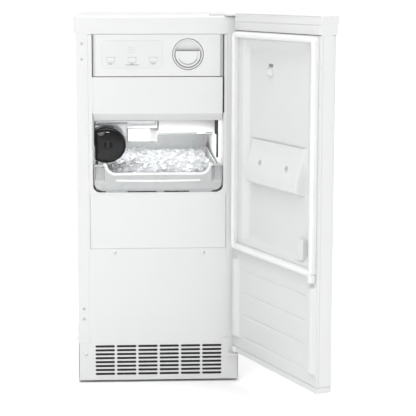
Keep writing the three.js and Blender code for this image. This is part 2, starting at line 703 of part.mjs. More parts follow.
function addControls() {
  add(icemaker, 'control_fascia', 'white_plastic', controlFascia());
  add(icemaker, 'control_overlay', 'white_plastic', controlOverlay());
  for (const [name, x] of BUTTONS) {
    add(icemaker, `${name}_button`, 'white_plastic', button(x));
  }
  add(icemaker, 'control_board', 'circuit', controlBoard());
  add(icemaker, 'control_box', 'steel', controlBox());
  add(icemaker, 'filter_housing', 'white_plastic', filterHousing());
  add(icemaker, 'filter_cartridge', 'white_plastic', filterCartridge());
  add(icemaker, 'filter_cap', 'white_plastic', filterCap());
}

function addIceMachine() {
  const tilt = -0.2;
  add(icemaker, 'evaporator_cover', 'white_plastic', evaporatorCover());
  const plate = add(icemaker, 'evaporator_plate', 'aluminium', evaporatorPlate());
  plate.position.set(0, -22, 652);
  plate.rotation.x = -tilt;
  add(icemaker, 'water_distributor', 'white_plastic', waterDistributor());
  add(icemaker, 'cutter_grid', 'steel', cutterGrid());
  add(icemaker, 'grid_bracket', 'white_plastic', gridBracket());
  add(icemaker, 'water_reservoir', 'white_plastic', waterReservoir());
  add(icemaker, 'pump_housing', 'white_plastic', pumpHousing());
  add(icemaker, 'scoop_holder', 'white_plastic', scoopHolder());
  add(icemaker, 'bin_sensor', 'steel', rod('x', 40, 556, 110, OPENING - 2.6, 4, 10));
  add(icemaker, 'ice_bin', 'bin_plastic', iceBin());
  add(icemaker, 'ice_scoop', 'black_gloss', iceScoop());
}

function addMachinery() {
  const discharge = [[110, 110, 196], [120, 60, 214], [100, -40, 200], [60, -150, 150], [46, -215, 120],
    [36, -236, 110]];
  const suction = [[20, 176, 200], [-10, 200, 240], [20, 225, 330], [60, 226, 420], [80, 226, 520]];
  add(icemaker, 'compressor', 'black_plastic', compressor(70, 150));
  add(icemaker, 'condenser', 'black_plastic', condenser());
  add(icemaker, 'fan_shroud', 'black_plastic', fanShroud());
  add(icemaker, 'fan_motor', 'steel', fanMotor());
  add(icemaker, 'fan_blade', 'black_plastic', fanBlade());
  add(icemaker, 'filter_drier', 'copper', filterDrier());
  add(icemaker, 'discharge_line', 'copper', tube(discharge, 4, 26));
  add(icemaker, 'suction_line', 'copper', tube(suction, 5, 22));
  add(icemaker, 'inlet_valve', 'black_plastic', inletValve());
  add(icemaker, 'drain_pump', 'black_plastic', drainPump());
  add(icemaker, 'power_inlet', 'black_plastic', powerInlet());
}

function addDoor() {
  const swing = new THREE.Group();
  const door = new THREE.Group();
  door.position.set(-HINGE.x, -HINGE.y, 0);
  swing.position.set(HINGE.x, HINGE.y, 0);
  swing.rotation.z = THREE.MathUtils.degToRad(DOOR_OPEN_DEG);
  swing.add(door);
  icemaker.add(swing);
  add(door, 'door_skin', 'paint', doorSkin());
  add(door, 'door_foam', 'foam', doorFoam());
  add(door, 'door_liner', 'liner_plastic', doorLiner());
  add(door, 'door_gasket', 'rubber', doorGasket());
  add(door, 'door_top_grip', 'white_plastic', doorTopGrip());
  add(door, 'door_bottom_cap', 'white_plastic', doorBottomCap());
  add(door, 'ice_deflector', 'liner_plastic', iceDeflector());
  add(door, 'door_magnet', 'liner_plastic', doorMagnet());
  add(door, 'door_clip', 'white_plastic', doorClip());
  add(icemaker, 'upper_hinge', 'paint', upperHinge());
  add(icemaker, 'lower_hinge', 'steel', lowerHinge());
}

addCabinet();
addFrontPanels();
addControls();
addIceMachine();
addMachinery();
addDoor();

export default icemaker;
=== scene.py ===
"""Looks of the under-counter ice maker: finishes, moulded details, ice, camera and studio light.

Metres, in the part's own frame: X across the front, Y from front to back, Z up.
Door pieces are drawn with the door shut and then turned about the hinge to where it stands open.
"""

import json
import math
import random

import bmesh
import bpy
from mathutils import Matrix, Vector


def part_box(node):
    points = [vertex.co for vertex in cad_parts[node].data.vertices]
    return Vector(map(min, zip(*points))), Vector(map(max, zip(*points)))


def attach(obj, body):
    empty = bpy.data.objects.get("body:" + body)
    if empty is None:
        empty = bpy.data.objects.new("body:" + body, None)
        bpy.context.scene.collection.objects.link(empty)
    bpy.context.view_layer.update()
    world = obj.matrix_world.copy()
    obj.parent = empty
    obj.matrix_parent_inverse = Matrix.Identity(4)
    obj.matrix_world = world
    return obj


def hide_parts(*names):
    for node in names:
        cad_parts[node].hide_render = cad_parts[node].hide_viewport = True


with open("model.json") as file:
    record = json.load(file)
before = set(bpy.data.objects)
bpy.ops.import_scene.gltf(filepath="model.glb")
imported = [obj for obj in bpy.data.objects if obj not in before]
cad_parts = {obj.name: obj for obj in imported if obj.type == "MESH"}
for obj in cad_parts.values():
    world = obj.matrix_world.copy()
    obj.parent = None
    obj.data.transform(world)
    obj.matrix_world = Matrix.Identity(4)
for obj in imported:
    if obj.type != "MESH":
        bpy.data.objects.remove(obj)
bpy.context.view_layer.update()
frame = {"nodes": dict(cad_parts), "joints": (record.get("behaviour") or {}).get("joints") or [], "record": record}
NODES = frame["nodes"]
MM = 0.001

# ---- places taken from the frame
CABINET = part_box("cabinet_shell")
FRONT = CABINET[0].y
SIDE = CABINET[1].x
HINGE_JOINT = next(j for j in frame["joints"] if j["name"] == "door_hinge")
HINGE = Vector(HINGE_JOINT["pos_m"])
DOOR_ANGLE = math.radians(-HINGE_JOINT["range_deg"][0])
DOOR_OPEN = (
    Matrix.Translation(HINGE) @ Matrix.Rotation(DOOR_ANGLE, 4, "Z") @ Matrix.Translation(-HINGE)
)


def shut_box(node):
    """Lowest and highest corner of a door node with the door shut."""
    shut = DOOR_OPEN.inverted()
    points = [shut @ v.co for v in NODES[node].data.vertices]
    low = Vector([min(p[i] for p in points) for i in range(3)])
    high = Vector([max(p[i] for p in points) for i in range(3)])
    return low, high


def span(node, door=False):
    """Reach of a node in millimetres: x0, x1, y0, y1, z0, z1."""
    low, high = shut_box(node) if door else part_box(node)
    return [c / MM for pair in zip(low, high) for c in pair]


# ---- finishes
# by the name asked for, as Blender adds a number where the frame has a material of that name
FINISHES = {}


class Finish:
    """A Principled material whose colour, roughness and relief vary with position on the piece."""

    def __init__(self, name, colour, roughness, **sockets):
        self.material = FINISHES[name] = bpy.data.materials.new(name)
        self.material.use_nodes = True
        self.nodes = self.material.node_tree.nodes
        self.links = self.material.node_tree.links
        self.shader = self.nodes["Principled BSDF"]
        self.colour = colour
        self.shader.inputs["Base Color"].default_value = (*colour, 1)
        self.shader.inputs["Roughness"].default_value = roughness
        for socket, value in sockets.items():
            self.shader.inputs[socket.replace("_", " ")].default_value = value
        self.place = self.nodes.new("ShaderNodeTexCoord").outputs["Object"]
        self.normal = None
        self.material.diffuse_color = (*colour, 1)

    def node(self, kind, **inputs):
        """A new node, each of its inputs set to a value or linked to a socket."""
        node = self.nodes.new("ShaderNode" + kind)
        for name, value in inputs.items():
            socket = node.inputs[name.replace("_", " ")]
            if isinstance(value, bpy.types.NodeSocket):
                self.links.new(value, socket)
            else:
                socket.default_value = value
        return node

    def stretched(self, scale):
        """Coordinates stretched by scale along X, Y and Z, for brushed or streaked patterns."""
        return self.node("Mapping", Vector=self.place, Scale=scale).outputs["Vector"]

    def pattern(self, scale, detail=None, place=None):
        """Noise where a detail is given, round cells without."""
        place = place or self.place
        if detail:
            return self.node("TexNoise", Vector=place, Scale=scale, Detail=detail).outputs["Fac"]
        return self.node("TexVoronoi", Vector=place, Scale=scale).outputs["Distance"]

    def spread(self, pattern, low, high):
        """Maps the middle of a 0 to 1 pattern onto low to high."""
        return self.node("MapRange", Value=pattern, From_Min=0.3, From_Max=0.7, To_Min=low,
                         To_Max=high).outputs["Result"]

    def tint(self, pattern, other):
        """Blends the base colour towards another one where the pattern is high."""
        mix = self.node("Mix")
        mix.data_type = "RGBA"
        colours = [s for s in mix.inputs if s.type == "RGBA"]
        colours[0].default_value = (*self.colour, 1)
        colours[1].default_value = (*other, 1)
        self.links.new(self.spread(pattern, 0.0, 1.0), mix.inputs["Factor"])
        result = next(s for s in mix.outputs if s.type == "RGBA")
        self.links.new(result, self.shader.inputs["Base Color"])

    def polish(self, pattern, low, high):
        self.links.new(self.spread(pattern, low, high), self.shader.inputs["Roughness"])

    def relief(self, pattern, strength, depth):
        """Adds a layer of bumps, depth in metres."""
        bump = self.node("Bump", Strength=strength, Distance=depth, Height=pattern)
        if self.normal is not None:
            self.links.new(self.normal, bump.inputs["Normal"])
        self.normal = bump.outputs["Normal"]
        self.links.new(self.normal, self.shader.inputs["Normal"])


def shade(colour, factor):
    return tuple(min(1.0, c * factor) for c in colour)


def patterned(name, colour, other, roughness, tint, polish, *reliefs, **sockets):
    """A finish whose tint, polish and reliefs follow patterns given as scale, detail, range.

    The other colour may be given as a factor on the first. In place of a range, a relief has
    its strength and its depth in millimetres.
    """
    f = Finish(name, colour, roughness, **sockets)
    f.tint(f.pattern(*tint), other if isinstance(other, tuple) else shade(colour, other))
    if polish:
        f.polish(f.pattern(*polish[:2]), *polish[2:])
    for relief in reliefs:
        f.relief(f.pattern(*relief[:2]), relief[2], relief[3] * MM)
    return f.material


def moulded(name, colour, roughness, grain, strength):
    """Injection-moulded plastic: fine spark-eroded grain over very slight flow marks."""
    return patterned(name, colour, 0.97, roughness, (5, 4),
                     (30, 3, roughness - 0.05, roughness + 0.07), (16, 2, 0.08, 0.4),
                     (grain, 2, strength, 0.06), IOR=1.5)


def formed(name, grey):
    """Vacuum-formed sheet, a little wavy and glossier than the mouldings."""
    return patterned(name, grey, 0.965, 0.34, (3, 5), (14, 3, 0.28, 0.42), (7, 2, 0.25, 1.2),
                     (1500, 1, 0.1, 0.04), IOR=1.52)


def brushed(name, grey, roughness, stretch, polish, strength, depth):
    """Drawn or rolled metal, streaked along the axis that is stretched least."""
    f = Finish(name, grey, roughness, Metallic=1.0)
    streaks = f.pattern(8, 3, f.stretched(stretch))
    f.tint(streaks, shade(grey, 0.85))
    f.polish(streaks, *polish)
    f.relief(streaks, strength, depth * MM)
    return f.material


# white enamel with a trace of orange peel
patterned("painted_steel", (0.572, 0.575, 0.577), 0.99, 0.3, (1.1, 2), (3, 2, 0.3, 0.36),
          (420, 2, 0.06, 0.2), Coat_Weight=0.25, Coat_Roughness=0.12)
moulded("white_plastic", (0.572, 0.575, 0.576), 0.42, 1400, 0.22)
formed("liner_plastic", (0.92, 0.93, 0.935))
patterned("bin_plastic", (0.42, 0.428, 0.43), 0.95, 0.3, (12, 4), (40, 3, 0.24, 0.38),
          (22, 2, 0.12, 0.4), IOR=1.5, Subsurface_Weight=0.12, Subsurface_Scale=0.006)
patterned("gasket_rubber", (0.65, 0.655, 0.655), 0.95, 0.55, (18, 4), (60, 3, 0.48, 0.65),
          (900, 2, 0.15, 0.08), Sheen_Weight=0.15)
patterned("foot_rubber", (0.035, 0.035, 0.037), (0.09, 0.088, 0.085), 0.75, (60, 5),
          (90, 3, 0.65, 0.9), (700, 3, 0.4, 0.2))
patterned("black_gloss", (0.006, 0.006, 0.007), (0.011, 0.011, 0.012), 0.05, (14, 3),
          (35, 4, 0.05, 0.12), (45, 2, 0.04, 0.3), IOR=1.35)
patterned("black_plastic", (0.014, 0.0145, 0.015), (0.022, 0.022, 0.023), 0.5, (30, 5),
          (50, 3, 0.42, 0.6), (1200, 2, 0.3, 0.1))
patterned("foam", (0.78, 0.66, 0.40), 0.8, 0.9, (25, 5), None, (260, None, 0.5, 0.8),
          (60, 4, 0.5, 1.5))
# zinc-plated sheet with its crystal spangle
patterned("galvanised_steel", (0.56, 0.58, 0.60), 0.9, 0.38, (150, None),
          (80, None, 0.3, 0.5), (500, 2, 0.08, 0.1), Metallic=0.9)
brushed("bright_steel", (0.68, 0.69, 0.70), 0.28, (60, 900, 900), (0.22, 0.38), 0.08, 0.05)
patterned("copper", (0.72, 0.36, 0.20), (0.42, 0.22, 0.14), 0.3, (40, 5),
          (70, 3, 0.25, 0.5), (400, 2, 0.1, 0.1), Metallic=1.0)
brushed("aluminium", (0.72, 0.735, 0.75), 0.35, (500, 500, 30), (0.28, 0.45), 0.1, 0.08)
patterned("circuit", (0.03, 0.20, 0.09), (0.05, 0.28, 0.13), 0.4, (180, None),
          (60, 3, 0.3, 0.5), (240, None, 0.2, 0.1), Coat_Weight=0.5)
# clear ice with a few clouded patches and a wet, slightly uneven surface
ICE = patterned("ice", (0.985, 0.99, 0.995), (0.93, 0.95, 0.965), 0.06, (60, 3),
                (90, 4, 0.03, 0.2), (70, 3, 0.35, 1.2), (160, None, 0.15, 0.4),
                IOR=1.31, Transmission_Weight=0.8)
# lighter copy of the bin plastic for its lip and rib: painted highlight where they face up into the light
BIN_RIM_HIGHLIGHT = moulded("bin_rim_painted_highlight", (0.66, 0.67, 0.675), 0.28, 900, 0.05)
# darker copy of the liner plastic for the door's inner face, deflector and latch: painted shade, as the open door
# faces away from the light
DOOR_SHEET_SHADED = formed("door_sheet_painted_shade", (0.56, 0.566, 0.568))
OVERLAY_FILM = moulded("overlay_film", (0.56, 0.563, 0.566), 0.35, 900, 0.1)
# dark grey for printed marks, also laid as flat plates that paint the shade in slots, grooves and recesses
INK_AND_SHADE = patterned("ink_and_painted_shade", (0.16, 0.165, 0.17), (0.22, 0.225, 0.23), 0.5, (300, 3),
                (200, 3, 0.45, 0.6))
FLOOR = patterned("studio_floor", (0.84, 0.84, 0.84), 0.995, 0.7, (1.5, 4), (6, 3, 0.65, 0.78))


# ---- mesh helpers
SHARP_FROM = math.radians(50)
BEVEL_FROM = math.radians(35)
FLAT_WITHIN = math.radians(0.6)


def smoothing_group():
    """Shades smooth except over edges that bend more than SHARP_FROM."""
    group = bpy.data.node_groups.new("smooth_by_angle", "GeometryNodeTree")
    for way in ("INPUT", "OUTPUT"):
        group.interface.new_socket("Geometry", in_out=way, socket_type="NodeSocketGeometry")
    nodes = group.nodes
    start, end = nodes.new("NodeGroupInput"), nodes.new("NodeGroupOutput")
    faces = nodes.new("GeometryNodeSetShadeSmooth")
    edges = nodes.new("GeometryNodeSetShadeSmooth")
    edges.domain = "EDGE"
    edges.inputs["Shade Smooth"].default_value = False
    angle = nodes.new("GeometryNodeInputMeshEdgeAngle")
    sharp = nodes.new("FunctionNodeCompare")
    sharp.operation = "GREATER_THAN"
    sharp.inputs[1].default_value = SHARP_FROM
    group.links.new(start.outputs[0], faces.inputs["Geometry"])
    group.links.new(faces.outputs["Geometry"], edges.inputs["Geometry"])
    group.links.new(angle.outputs["Unsigned Angle"], sharp.inputs[0])
    group.links.new(sharp.outputs["Result"], edges.inputs["Selection"])
    group.links.new(edges.outputs["Geometry"], end.inputs[0])
    return group


SMOOTHING = smoothing_group()


def smooth(obj):
    obj.modifiers.new("smooth", "NODES").node_group = SMOOTHING
    obj.modifiers.new("weighted", "WEIGHTED_NORMAL").keep_sharp = True


def soften(obj, width):
    """Rounds the sharp edges of a faceted piece, leaving its own mesh as it is."""
    obj.modifiers.new("weld", "WELD").merge_threshold = 0.01 * MM
    flat = obj.modifiers.new("flat", "DECIMATE")
    flat.decimate_type = "DISSOLVE"
    flat.angle_limit = FLAT_WITHIN
    edges = obj.modifiers.new("edges", "BEVEL")
    edges.width = width
    edges.segments = 2
    edges.limit_method = "ANGLE"
    edges.angle_limit = BEVEL_FROM
    smooth(obj)


def placed(name, data):
    """An object holding the data, in the scene."""
    obj = bpy.data.objects.new(name, data)
    bpy.context.scene.collection.objects.link(obj)
    return obj


def new_piece(name, mesh, slot, body, *replaced, material=None, door=False):
    """Puts a mesh drawn in millimetres in the scene, in its finish and riding on a body.

    Pieces of the door are drawn with it shut and swung open here.
    """
    mesh.transform(Matrix.Scale(MM, 4))
    if door:
        mesh.transform(DOOR_OPEN)
    obj = placed(name, mesh)
    mesh.materials.clear()
    mesh.materials.append(material or FINISHES[slot])
    smooth(obj)
    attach(obj, body)
    if replaced:
        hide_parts(*replaced)
    return obj


# ---- geometry helpers
def loft(name, rows, caps=True):
    """Joins closed rows of points, each the same length, into a skin."""
    count = len(rows[0])
    verts = [p for row in rows for p in row]
    faces = []
    for r in range(len(rows) - 1):
        for c in range(count):
            a, b = r * count + c, r * count + (c + 1) % count
            faces.append((a, b, b + count, a + count))
    if caps:
        faces.append(tuple(range(count))[::-1])
        faces.append(tuple(range(len(verts) - count, len(verts))))
    mesh = bpy.data.meshes.new(name)
    mesh.from_pydata(verts, [], faces)
    return tidied(mesh)


def tidied(mesh):
    """Merges doubled points and turns every face outwards."""
    work = bmesh.new()
    work.from_mesh(mesh)
    bmesh.ops.remove_doubles(work, verts=work.verts, dist=0.01)
    bmesh.ops.recalc_face_normals(work, faces=work.faces)
    work.to_mesh(mesh)
    work.free()
    return mesh


def joined(name, meshes):
    """One mesh holding all the given ones."""
    work = bmesh.new()
    for mesh in meshes:
        work.from_mesh(mesh)
        bpy.data.meshes.remove(mesh)
    whole = bpy.data.meshes.new(name)
    work.to_mesh(whole)
    work.free()
    return whole


def block(x0, x1, y0, y1, z0, z1, rim=0.0):
    """A box with rounded edges."""
    work = bmesh.new()
    bmesh.ops.create_cube(work, size=1)
    for v in work.verts:
        v.co = (x0 + (v.co.x + 0.5) * (x1 - x0), y0 + (v.co.y + 0.5) * (y1 - y0),
                z0 + (v.co.z + 0.5) * (z1 - z0))
    if rim:
        bmesh.ops.bevel(work, geom=work.edges[:], offset=rim, segments=2, profile=0.5,
                        affect="EDGES")
    mesh = bpy.data.meshes.new("block")
    work.to_mesh(mesh)
    work.free()
    return mesh


def rounded_loop(x0, x1, z0, z1, radius, steps=6):
    """Corners of a rounded rectangle as (x, z) points, anticlockwise."""
    points = []
    corners = [(x1 - radius, z0 + radius, -90), (x1 - radius, z1 - radius, 0),
               (x0 + radius, z1 - radius, 90), (x0 + radius, z0 + radius, 180)]
    for cx, cz, start in corners:
        for step in range(steps + 1):
            a = math.radians(start + 90 * step / steps)
            points.append((cx + radius * math.cos(a), cz + radius * math.sin(a)))
    return points


def arc_loop(cx, cz, radius, start, end, steps):
    """Points along an arc, angles in degrees."""
    angles = [math.radians(start + (end - start) * i / steps) for i in range(steps + 1)]
    return [(cx + radius * math.cos(a), cz + radius * math.sin(a)) for a in angles]


def plate(name, loops, y_front, thickness, rim):
    """A sheet facing -Y, cut from its outline (first loop) and holes, with its edges rounded."""
    curve = bpy.data.curves.new(name, "CURVE")
    curve.dimensions = "2D"
    curve.fill_mode = "BOTH"
    curve.extrude = thickness / 2 - rim
    curve.bevel_depth = rim
    curve.bevel_resolution = 1
    curve.offset = -rim
    for loop in loops:
        spline = curve.splines.new("POLY")
        spline.points.add(len(loop) - 1)
        for point, (x, z) in zip(spline.points, loop):
            point.co = (x, z, 0, 1)
        spline.use_cyclic_u = True
    holder = placed(name, curve)
    graph = bpy.context.evaluated_depsgraph_get()
    mesh = bpy.data.meshes.new_from_object(holder.evaluated_get(graph))
    bpy.data.objects.remove(holder)
    bpy.data.curves.remove(curve)
    upright = Matrix.Rotation(math.radians(90), 4, "X")
    mesh.transform(Matrix.Translation((0, y_front + thickness / 2, 0)) @ upright)
    return tidied(mesh)


def turned(name, profile, centre, axis="Y", sides=48):
    """A lathe piece about Y or Z from (radius, distance along the axis) pairs."""
    rows = []
    for radius, along in profile:
        row = []
        for i in range(sides):
            a = 2 * math.pi * i / sides
            u, v = radius * math.cos(a), radius * math.sin(a)
            point = (u, along, v) if axis == "Y" else (u, v, along)
            row.append((centre[0] + point[0], centre[1] + point[1], centre[2] + point[2]))
        rows.append(row)
    return loft(name, rows)


def ease(t):
    """0 below 0, 1 above 1, smooth between."""
    t = min(1.0, max(0.0, t))
    return t * t * (3 - 2 * t)


def inside_distance(x, z, x0, x1, z0, z1, radius):
    """How far a point lies inside a rounded rectangle; negative outside."""
    qx = abs(x - (x0 + x1) / 2) - (x1 - x0) / 2 + radius
    qz = abs(z - (z0 + z1) / 2) - (z1 - z0) / 2 + radius
    return radius - math.hypot(max(qx, 0), max(qz, 0)) - min(max(qx, qz), 0)


def stations(low, high, coarse, fine, zones):
    """Grid lines from low to high, close together inside the given zones."""
    lines, at = [low], low
    while at < high - 1e-9:
        near = any(a - coarse < at < b + fine / 2 and at < b for a, b in zones)
        inside = any(a - fine / 2 <= at < b for a, b in zones)
        step = fine if inside else coarse
        if near and not inside:
            step = min([a - at for a, b in zones if a > at] + [coarse])
        at = min(high, at + max(step, fine / 2))
        lines.append(at)
    return lines


def sheet(name, front, back):
    """A closed sheet from matching grids of front and back points."""
    columns, lines = len(front[0]), len(front)
    verts = [p for row in front + back for p in row]
    half = columns * lines
    faces = []
    for r in range(lines - 1):
        for c in range(columns - 1):
            a = r * columns + c
            faces.append((a, a + 1, a + 1 + columns, a + columns))
            faces.append((half + a, half + a + columns, half + a + 1 + columns, half + a + 1))
    rim = (list(range(columns)) + [r * columns + columns - 1 for r in range(1, lines)]
           + [half - 1 - c for c in range(1, columns)]
           + [r * columns for r in range(lines - 2, 0, -1)])
    for i, a in enumerate(rim):
        b = rim[(i + 1) % len(rim)]
        faces.append((b, a, a + half, b + half))
    mesh = bpy.data.meshes.new(name)
    mesh.from_pydata(verts, [], faces)
    return tidied(mesh)


def field(name, xs, zs, surface, thickness):
    """A sheet of the given thickness whose front follows y = surface(x, z)."""
    front = [[(x, surface(x, z), z) for x in xs] for z in zs]
    back = [[(x, y + thickness, z) for x, y, z in row] for row in front]
    return sheet(name, front, back)


def swept(name, path, section, closed=False):
    """Sweeps (left of the way, y) section points along a path of (x, z) points."""
    rows = []
    last = len(path) - 1
    for i, (x, z) in enumerate(path):
        before = path[i - 1] if closed else path[max(0, i - 1)]
        after = path[(i + 1) % len(path)] if closed else path[min(last, i + 1)]
        along = Vector((after[0] - before[0], after[1] - before[1])).normalized()
        rows.append([(x - along.y * u, y, z + along.x * u) for u, y in section])
    if closed:
        rows.append(rows[0])
    return loft(name, rows, caps=not closed)


def dense(loop, step):
    """Adds points along the straight runs of a closed loop."""
    points = []
    for i, (x, y) in enumerate(loop):
        ex, ey = loop[(i + 1) % len(loop)]
        count = max(1, round(math.hypot(ex - x, ey - y) / step))
        points += [(x + (ex - x) * k / count, y + (ey - y) * k / count) for k in range(count)]
    return points


# ---- top of the cabinet
def add_top_cap():
    """Deep white cap with rounded corners and a softly rolled top edge, hollow below."""
    x0, x1, y0, y1, z0, z1 = span("top_cap")
    roll = 5

    def row(inset, z):
        loop = rounded_loop(x0 + inset, x1 - inset, y0 + inset, y1 - inset,
                            max(14 - inset, 2), 8)
        return [(x, y, z) for x, y in loop]
    rows = [row(3.5, z1 - 3.5), row(3.5, z0 + 0.6), row(2.9, z0), row(0.6, z0), row(0, z0 + 0.6)]
    for step in range(7):
        a = math.radians(15 * step)
        rows.append(row(roll * (1 - math.cos(a)), z1 - roll + roll * math.sin(a)))
    new_piece("top_cap_moulding", loft("top_cap", rows), "painted_steel", "cabinet", "top_cap")


# ---- controls
def add_overlay():
    """Label plate of the controls with raised keys and printed marks."""
    x0, x1, y0, y1, z0, z1 = span("control_overlay")
    new_piece("overlay_plate", plate("overlay_plate", [rounded_loop(x0, x1, z0, z1, 5)],
                                     y0, y1 - y0, 0.2), "white_plastic", "cabinet",
              "control_overlay", material=OVERLAY_FILM)
    # grey ring round the label plate: painted shade along its edge
    groove = [rounded_loop(x0 - 0.6, x1 + 0.6, z0 - 0.6, z1 + 0.6, 5.5),
              rounded_loop(x0, x1, z0, z1, 5)[::-1]]
    new_piece("overlay_edge_shade", plate("overlay_edge_shade", groove, y0 + 0.1, 0.4, 0.02), "bin_plastic",
              "cabinet")
    marks = []
    for body in ("timer_button", "clean_button", "power_button"):
        bx0, bx1, by0, by1, bz0, bz1 = span(body)
        mid, low = (bx0 + bx1) / 2, bz0
        add_key(body, bx0, bx1, by0, by1, bz0, bz1)
        marks += key_marks(mid, low, bz1, y0)
        if body == "clean_button":
            marks += status_marks(mid, low, bz1, y0)
    new_piece("overlay_print", joined("overlay_print", marks), None, "cabinet", material=INK_AND_SHADE)


def add_key(body, x0, x1, y0, y1, z0, z1):
    """A domed key top."""
    rows = []
    for inset, y in ((0, y1), (0, y0 + 0.9), (0.3, y0 + 0.45), (1.0, y0 + 0.15), (2.2, y0)):
        loop = rounded_loop(x0 + inset, x1 - inset, z0 + inset, z1 - inset, max(3 - inset, 0.8))
        rows.append([(x, y, z) for x, z in loop])
    new_piece(body + "_top", loft(body, rows), "white_plastic", body, body,
              material=OVERLAY_FILM)


def key_marks(mid, low, high, y):
    """Outline round a key, wider at its top, with a short bar below."""
    outer = [(mid - 7.4, low - 2.2), (mid + 7.4, low - 2.2), (mid + 10.2, high + 1.0),
             (mid + 10.2, high + 1.9), (mid - 10.2, high + 1.9), (mid - 10.2, high + 1.0)]
    inner = [(mid - 7.0, low - 1.6), (mid + 7.0, low - 1.6), (mid + 9.6, high + 1.3),
             (mid - 9.6, high + 1.3)]
    strokes = [thin_plate([outer, inner[::-1]], y)]
    strokes.append(thin_plate([rounded_loop(mid - 4.4, mid + 4.4, low - 5.2, low - 3.6, 0.7)], y))
    return strokes


def status_marks(mid, low, high, y):
    """Long bar below the middle key and faint lines above it."""
    strokes = [thin_plate([rounded_loop(mid - 16, mid + 16, low - 7.4, low - 5.9, 0.7)], y)]
    for k in range(3):
        z = high + 13 + 5.2 * k
        strokes.append(thin_plate([rounded_loop(mid - 10, mid + 10 - 3 * k, z, z + 0.35, 0.15)], y))
    return strokes


def thin_plate(loops, y):
    """Ink lying on the face at y."""
    return plate("stroke", loops, y - 0.06, 0.08, 0.01)


def add_filter_cap():
    """Quarter-turn cap: bright rim, a dish sloping inwards and a half-moon grip in two steps."""
    x0, x1, y0, y1, z0, z1 = span("filter_cap")
    cx, cz, r = (x0 + x1) / 2, (z0 + z1) / 2, (x1 - x0) / 2
    front = y0 + 4
    rim = turned("cap_rim", [(r - 5, y1), (r, y1), (r, front + 0.8), (r - 0.8, front),
                             (r - 3.0, front), (r - 3.8, front + 0.8), (r - 4.4, y1)],
                 (cx, 0, cz), sides=72)
    pieces = [rim, sloped_dish(cx, cz, r - 3.9, front + 0.9, y1 - 0.4)]
    for radius, y, flat in ((r - 6.2, front - 1.9, 7.0), (r - 12.5, y0, 4.6)):
        pieces.append(half_moon(cx, cz, radius, flat, y, y1 - 0.3))
    new_piece("filter_cap_face", joined("filter_cap_face", pieces), "white_plastic",
              "filter_cap", "filter_cap")
    add_cap_painted_shade(cx, cz, r, y0, front)


def add_cap_painted_shade(cx, cz, r, y0, front):
    """Flat dark plates that paint shade: in the finger slot above the grip, along a curved groove below it, and as
    the grip's shadow round its lower edge.
    """
    slot = [(cx - 27, cz + 7), (cx + 27, cz + 7), (cx + 25.5, cz + 9.6), (cx - 25.5, cz + 9.6)]
    pieces = [plate("slot", [slot], front + 0.9, 1.2, 0.1)]
    for radius, width, reach, y in ((r - 11.6, 0.8, 62, y0 + 1.2), (r - 5.3, 2.2, 66, front + 0.5)):
        outer = arc_loop(cx, cz, radius + width / 2, 270 - reach, 270 + reach, 40)
        inner = arc_loop(cx, cz, radius - width / 2, 270 + reach, 270 - reach, 40)
        pieces.append(plate("groove", [outer + inner], y, 0.9, 0.05))
    new_piece("filter_cap_painted_shade", joined("cap_painted_shade", pieces), None, "filter_cap",
              material=INK_AND_SHADE)


def sloped_dish(cx, cz, radius, y_top, y_deep):
    """A disc whose face runs inwards from its top edge down to the grip."""
    front, back = [], []
    for i in range(25):
        z = cz + radius * (1 - i / 12)
        half = math.sqrt(max(0.5, radius ** 2 - (z - cz) ** 2))
        depth = y_top + (y_deep - y_top) * ease((cz + radius - z) / (radius - 7))
        front.append([(cx + half * (2 * k / 20 - 1), depth, z) for k in range(21)])
        back.append([(x, y_deep + 0.4, pz) for x, _, pz in front[-1]])
    return sheet("dish", front[::-1], back[::-1])


def half_moon(cx, cz, radius, flat, y_front, y_back):
    """The lower part of a disc, cut straight across a little above its centre."""
    rows = []
    for inset, y in ((0, y_back), (0, y_front + 1), (0.35, y_front + 0.3), (1.1, y_front)):
        turn = math.degrees(math.asin((flat - inset) / (radius - inset)))
        arc = arc_loop(cx, cz, radius - inset, 180 - turn, 360 + turn, 60)
        chord = [(arc[-1][0] + (arc[0][0] - arc[-1][0]) * t / 12, arc[0][1]) for t in range(1, 12)]
        rows.append([(x, y, z) for x, z in arc + chord])
    return loft("half_moon", rows)


# ---- toe grille and small fixings
SLOT_ROWS, SLOT_COLUMNS = 8, 6
SLOT_PITCH_X, SLOT_PITCH_Z = 50.5, 9.55
SLOT_HALF_X, SLOT_HALF_Z = 23, 2.85


def add_toe_grille():
    """Kick plate with rows of round-ended slots and a black screen behind them: a filter that also stands in for
    the shade inside the base.
    """
    x0, x1, y0, y1, z0, z1 = span("toe_grille")
    loops = [rounded_loop(x0, x1, z0, z1, 2)]
    for row in range(SLOT_ROWS):
        z = z0 + 15 + SLOT_PITCH_Z * row
        for column in range(SLOT_COLUMNS):
            x = SLOT_PITCH_X * (column - (SLOT_COLUMNS - 1) / 2)
            loops.append(rounded_loop(x - SLOT_HALF_X, x + SLOT_HALF_X,
                                      z - SLOT_HALF_Z, z + SLOT_HALF_Z, 2.8, 4))
    new_piece("grille_sheet", plate("grille_sheet", loops, y0, y1 - y0, 0.5), "painted_steel",
              "cabinet", "toe_grille")
    # black screen: a filter, and painted shade behind the slots
    screen = block(-152, 152, y1 + 2, y1 + 3, z0 + 3, z1 - 4, 0.2)
    new_piece("grille_filter_and_shade", screen, "black_plastic", "cabinet")


def add_screws():
    """Heads in place of the plain discs, and the grille's right-hand screw."""
    for node in ("service_panel_screw_left", "service_panel_screw_right", "grille_screw"):
        x0, x1, y0, y1, z0, z1 = span(node)
        screw_head(node, (x0 + x1) / 2, (z0 + z1) / 2, y0, y1, (x1 - x0) / 2, node)
    grille, left = span("toe_grille"), span("grille_screw")
    x, z = grille[1] - (left[0] - grille[0]) - 4, (left[4] + left[5]) / 2
    screw_head("grille_screw_right", x, z, grille[2] - 1.2, grille[2] + 1, 4, None)


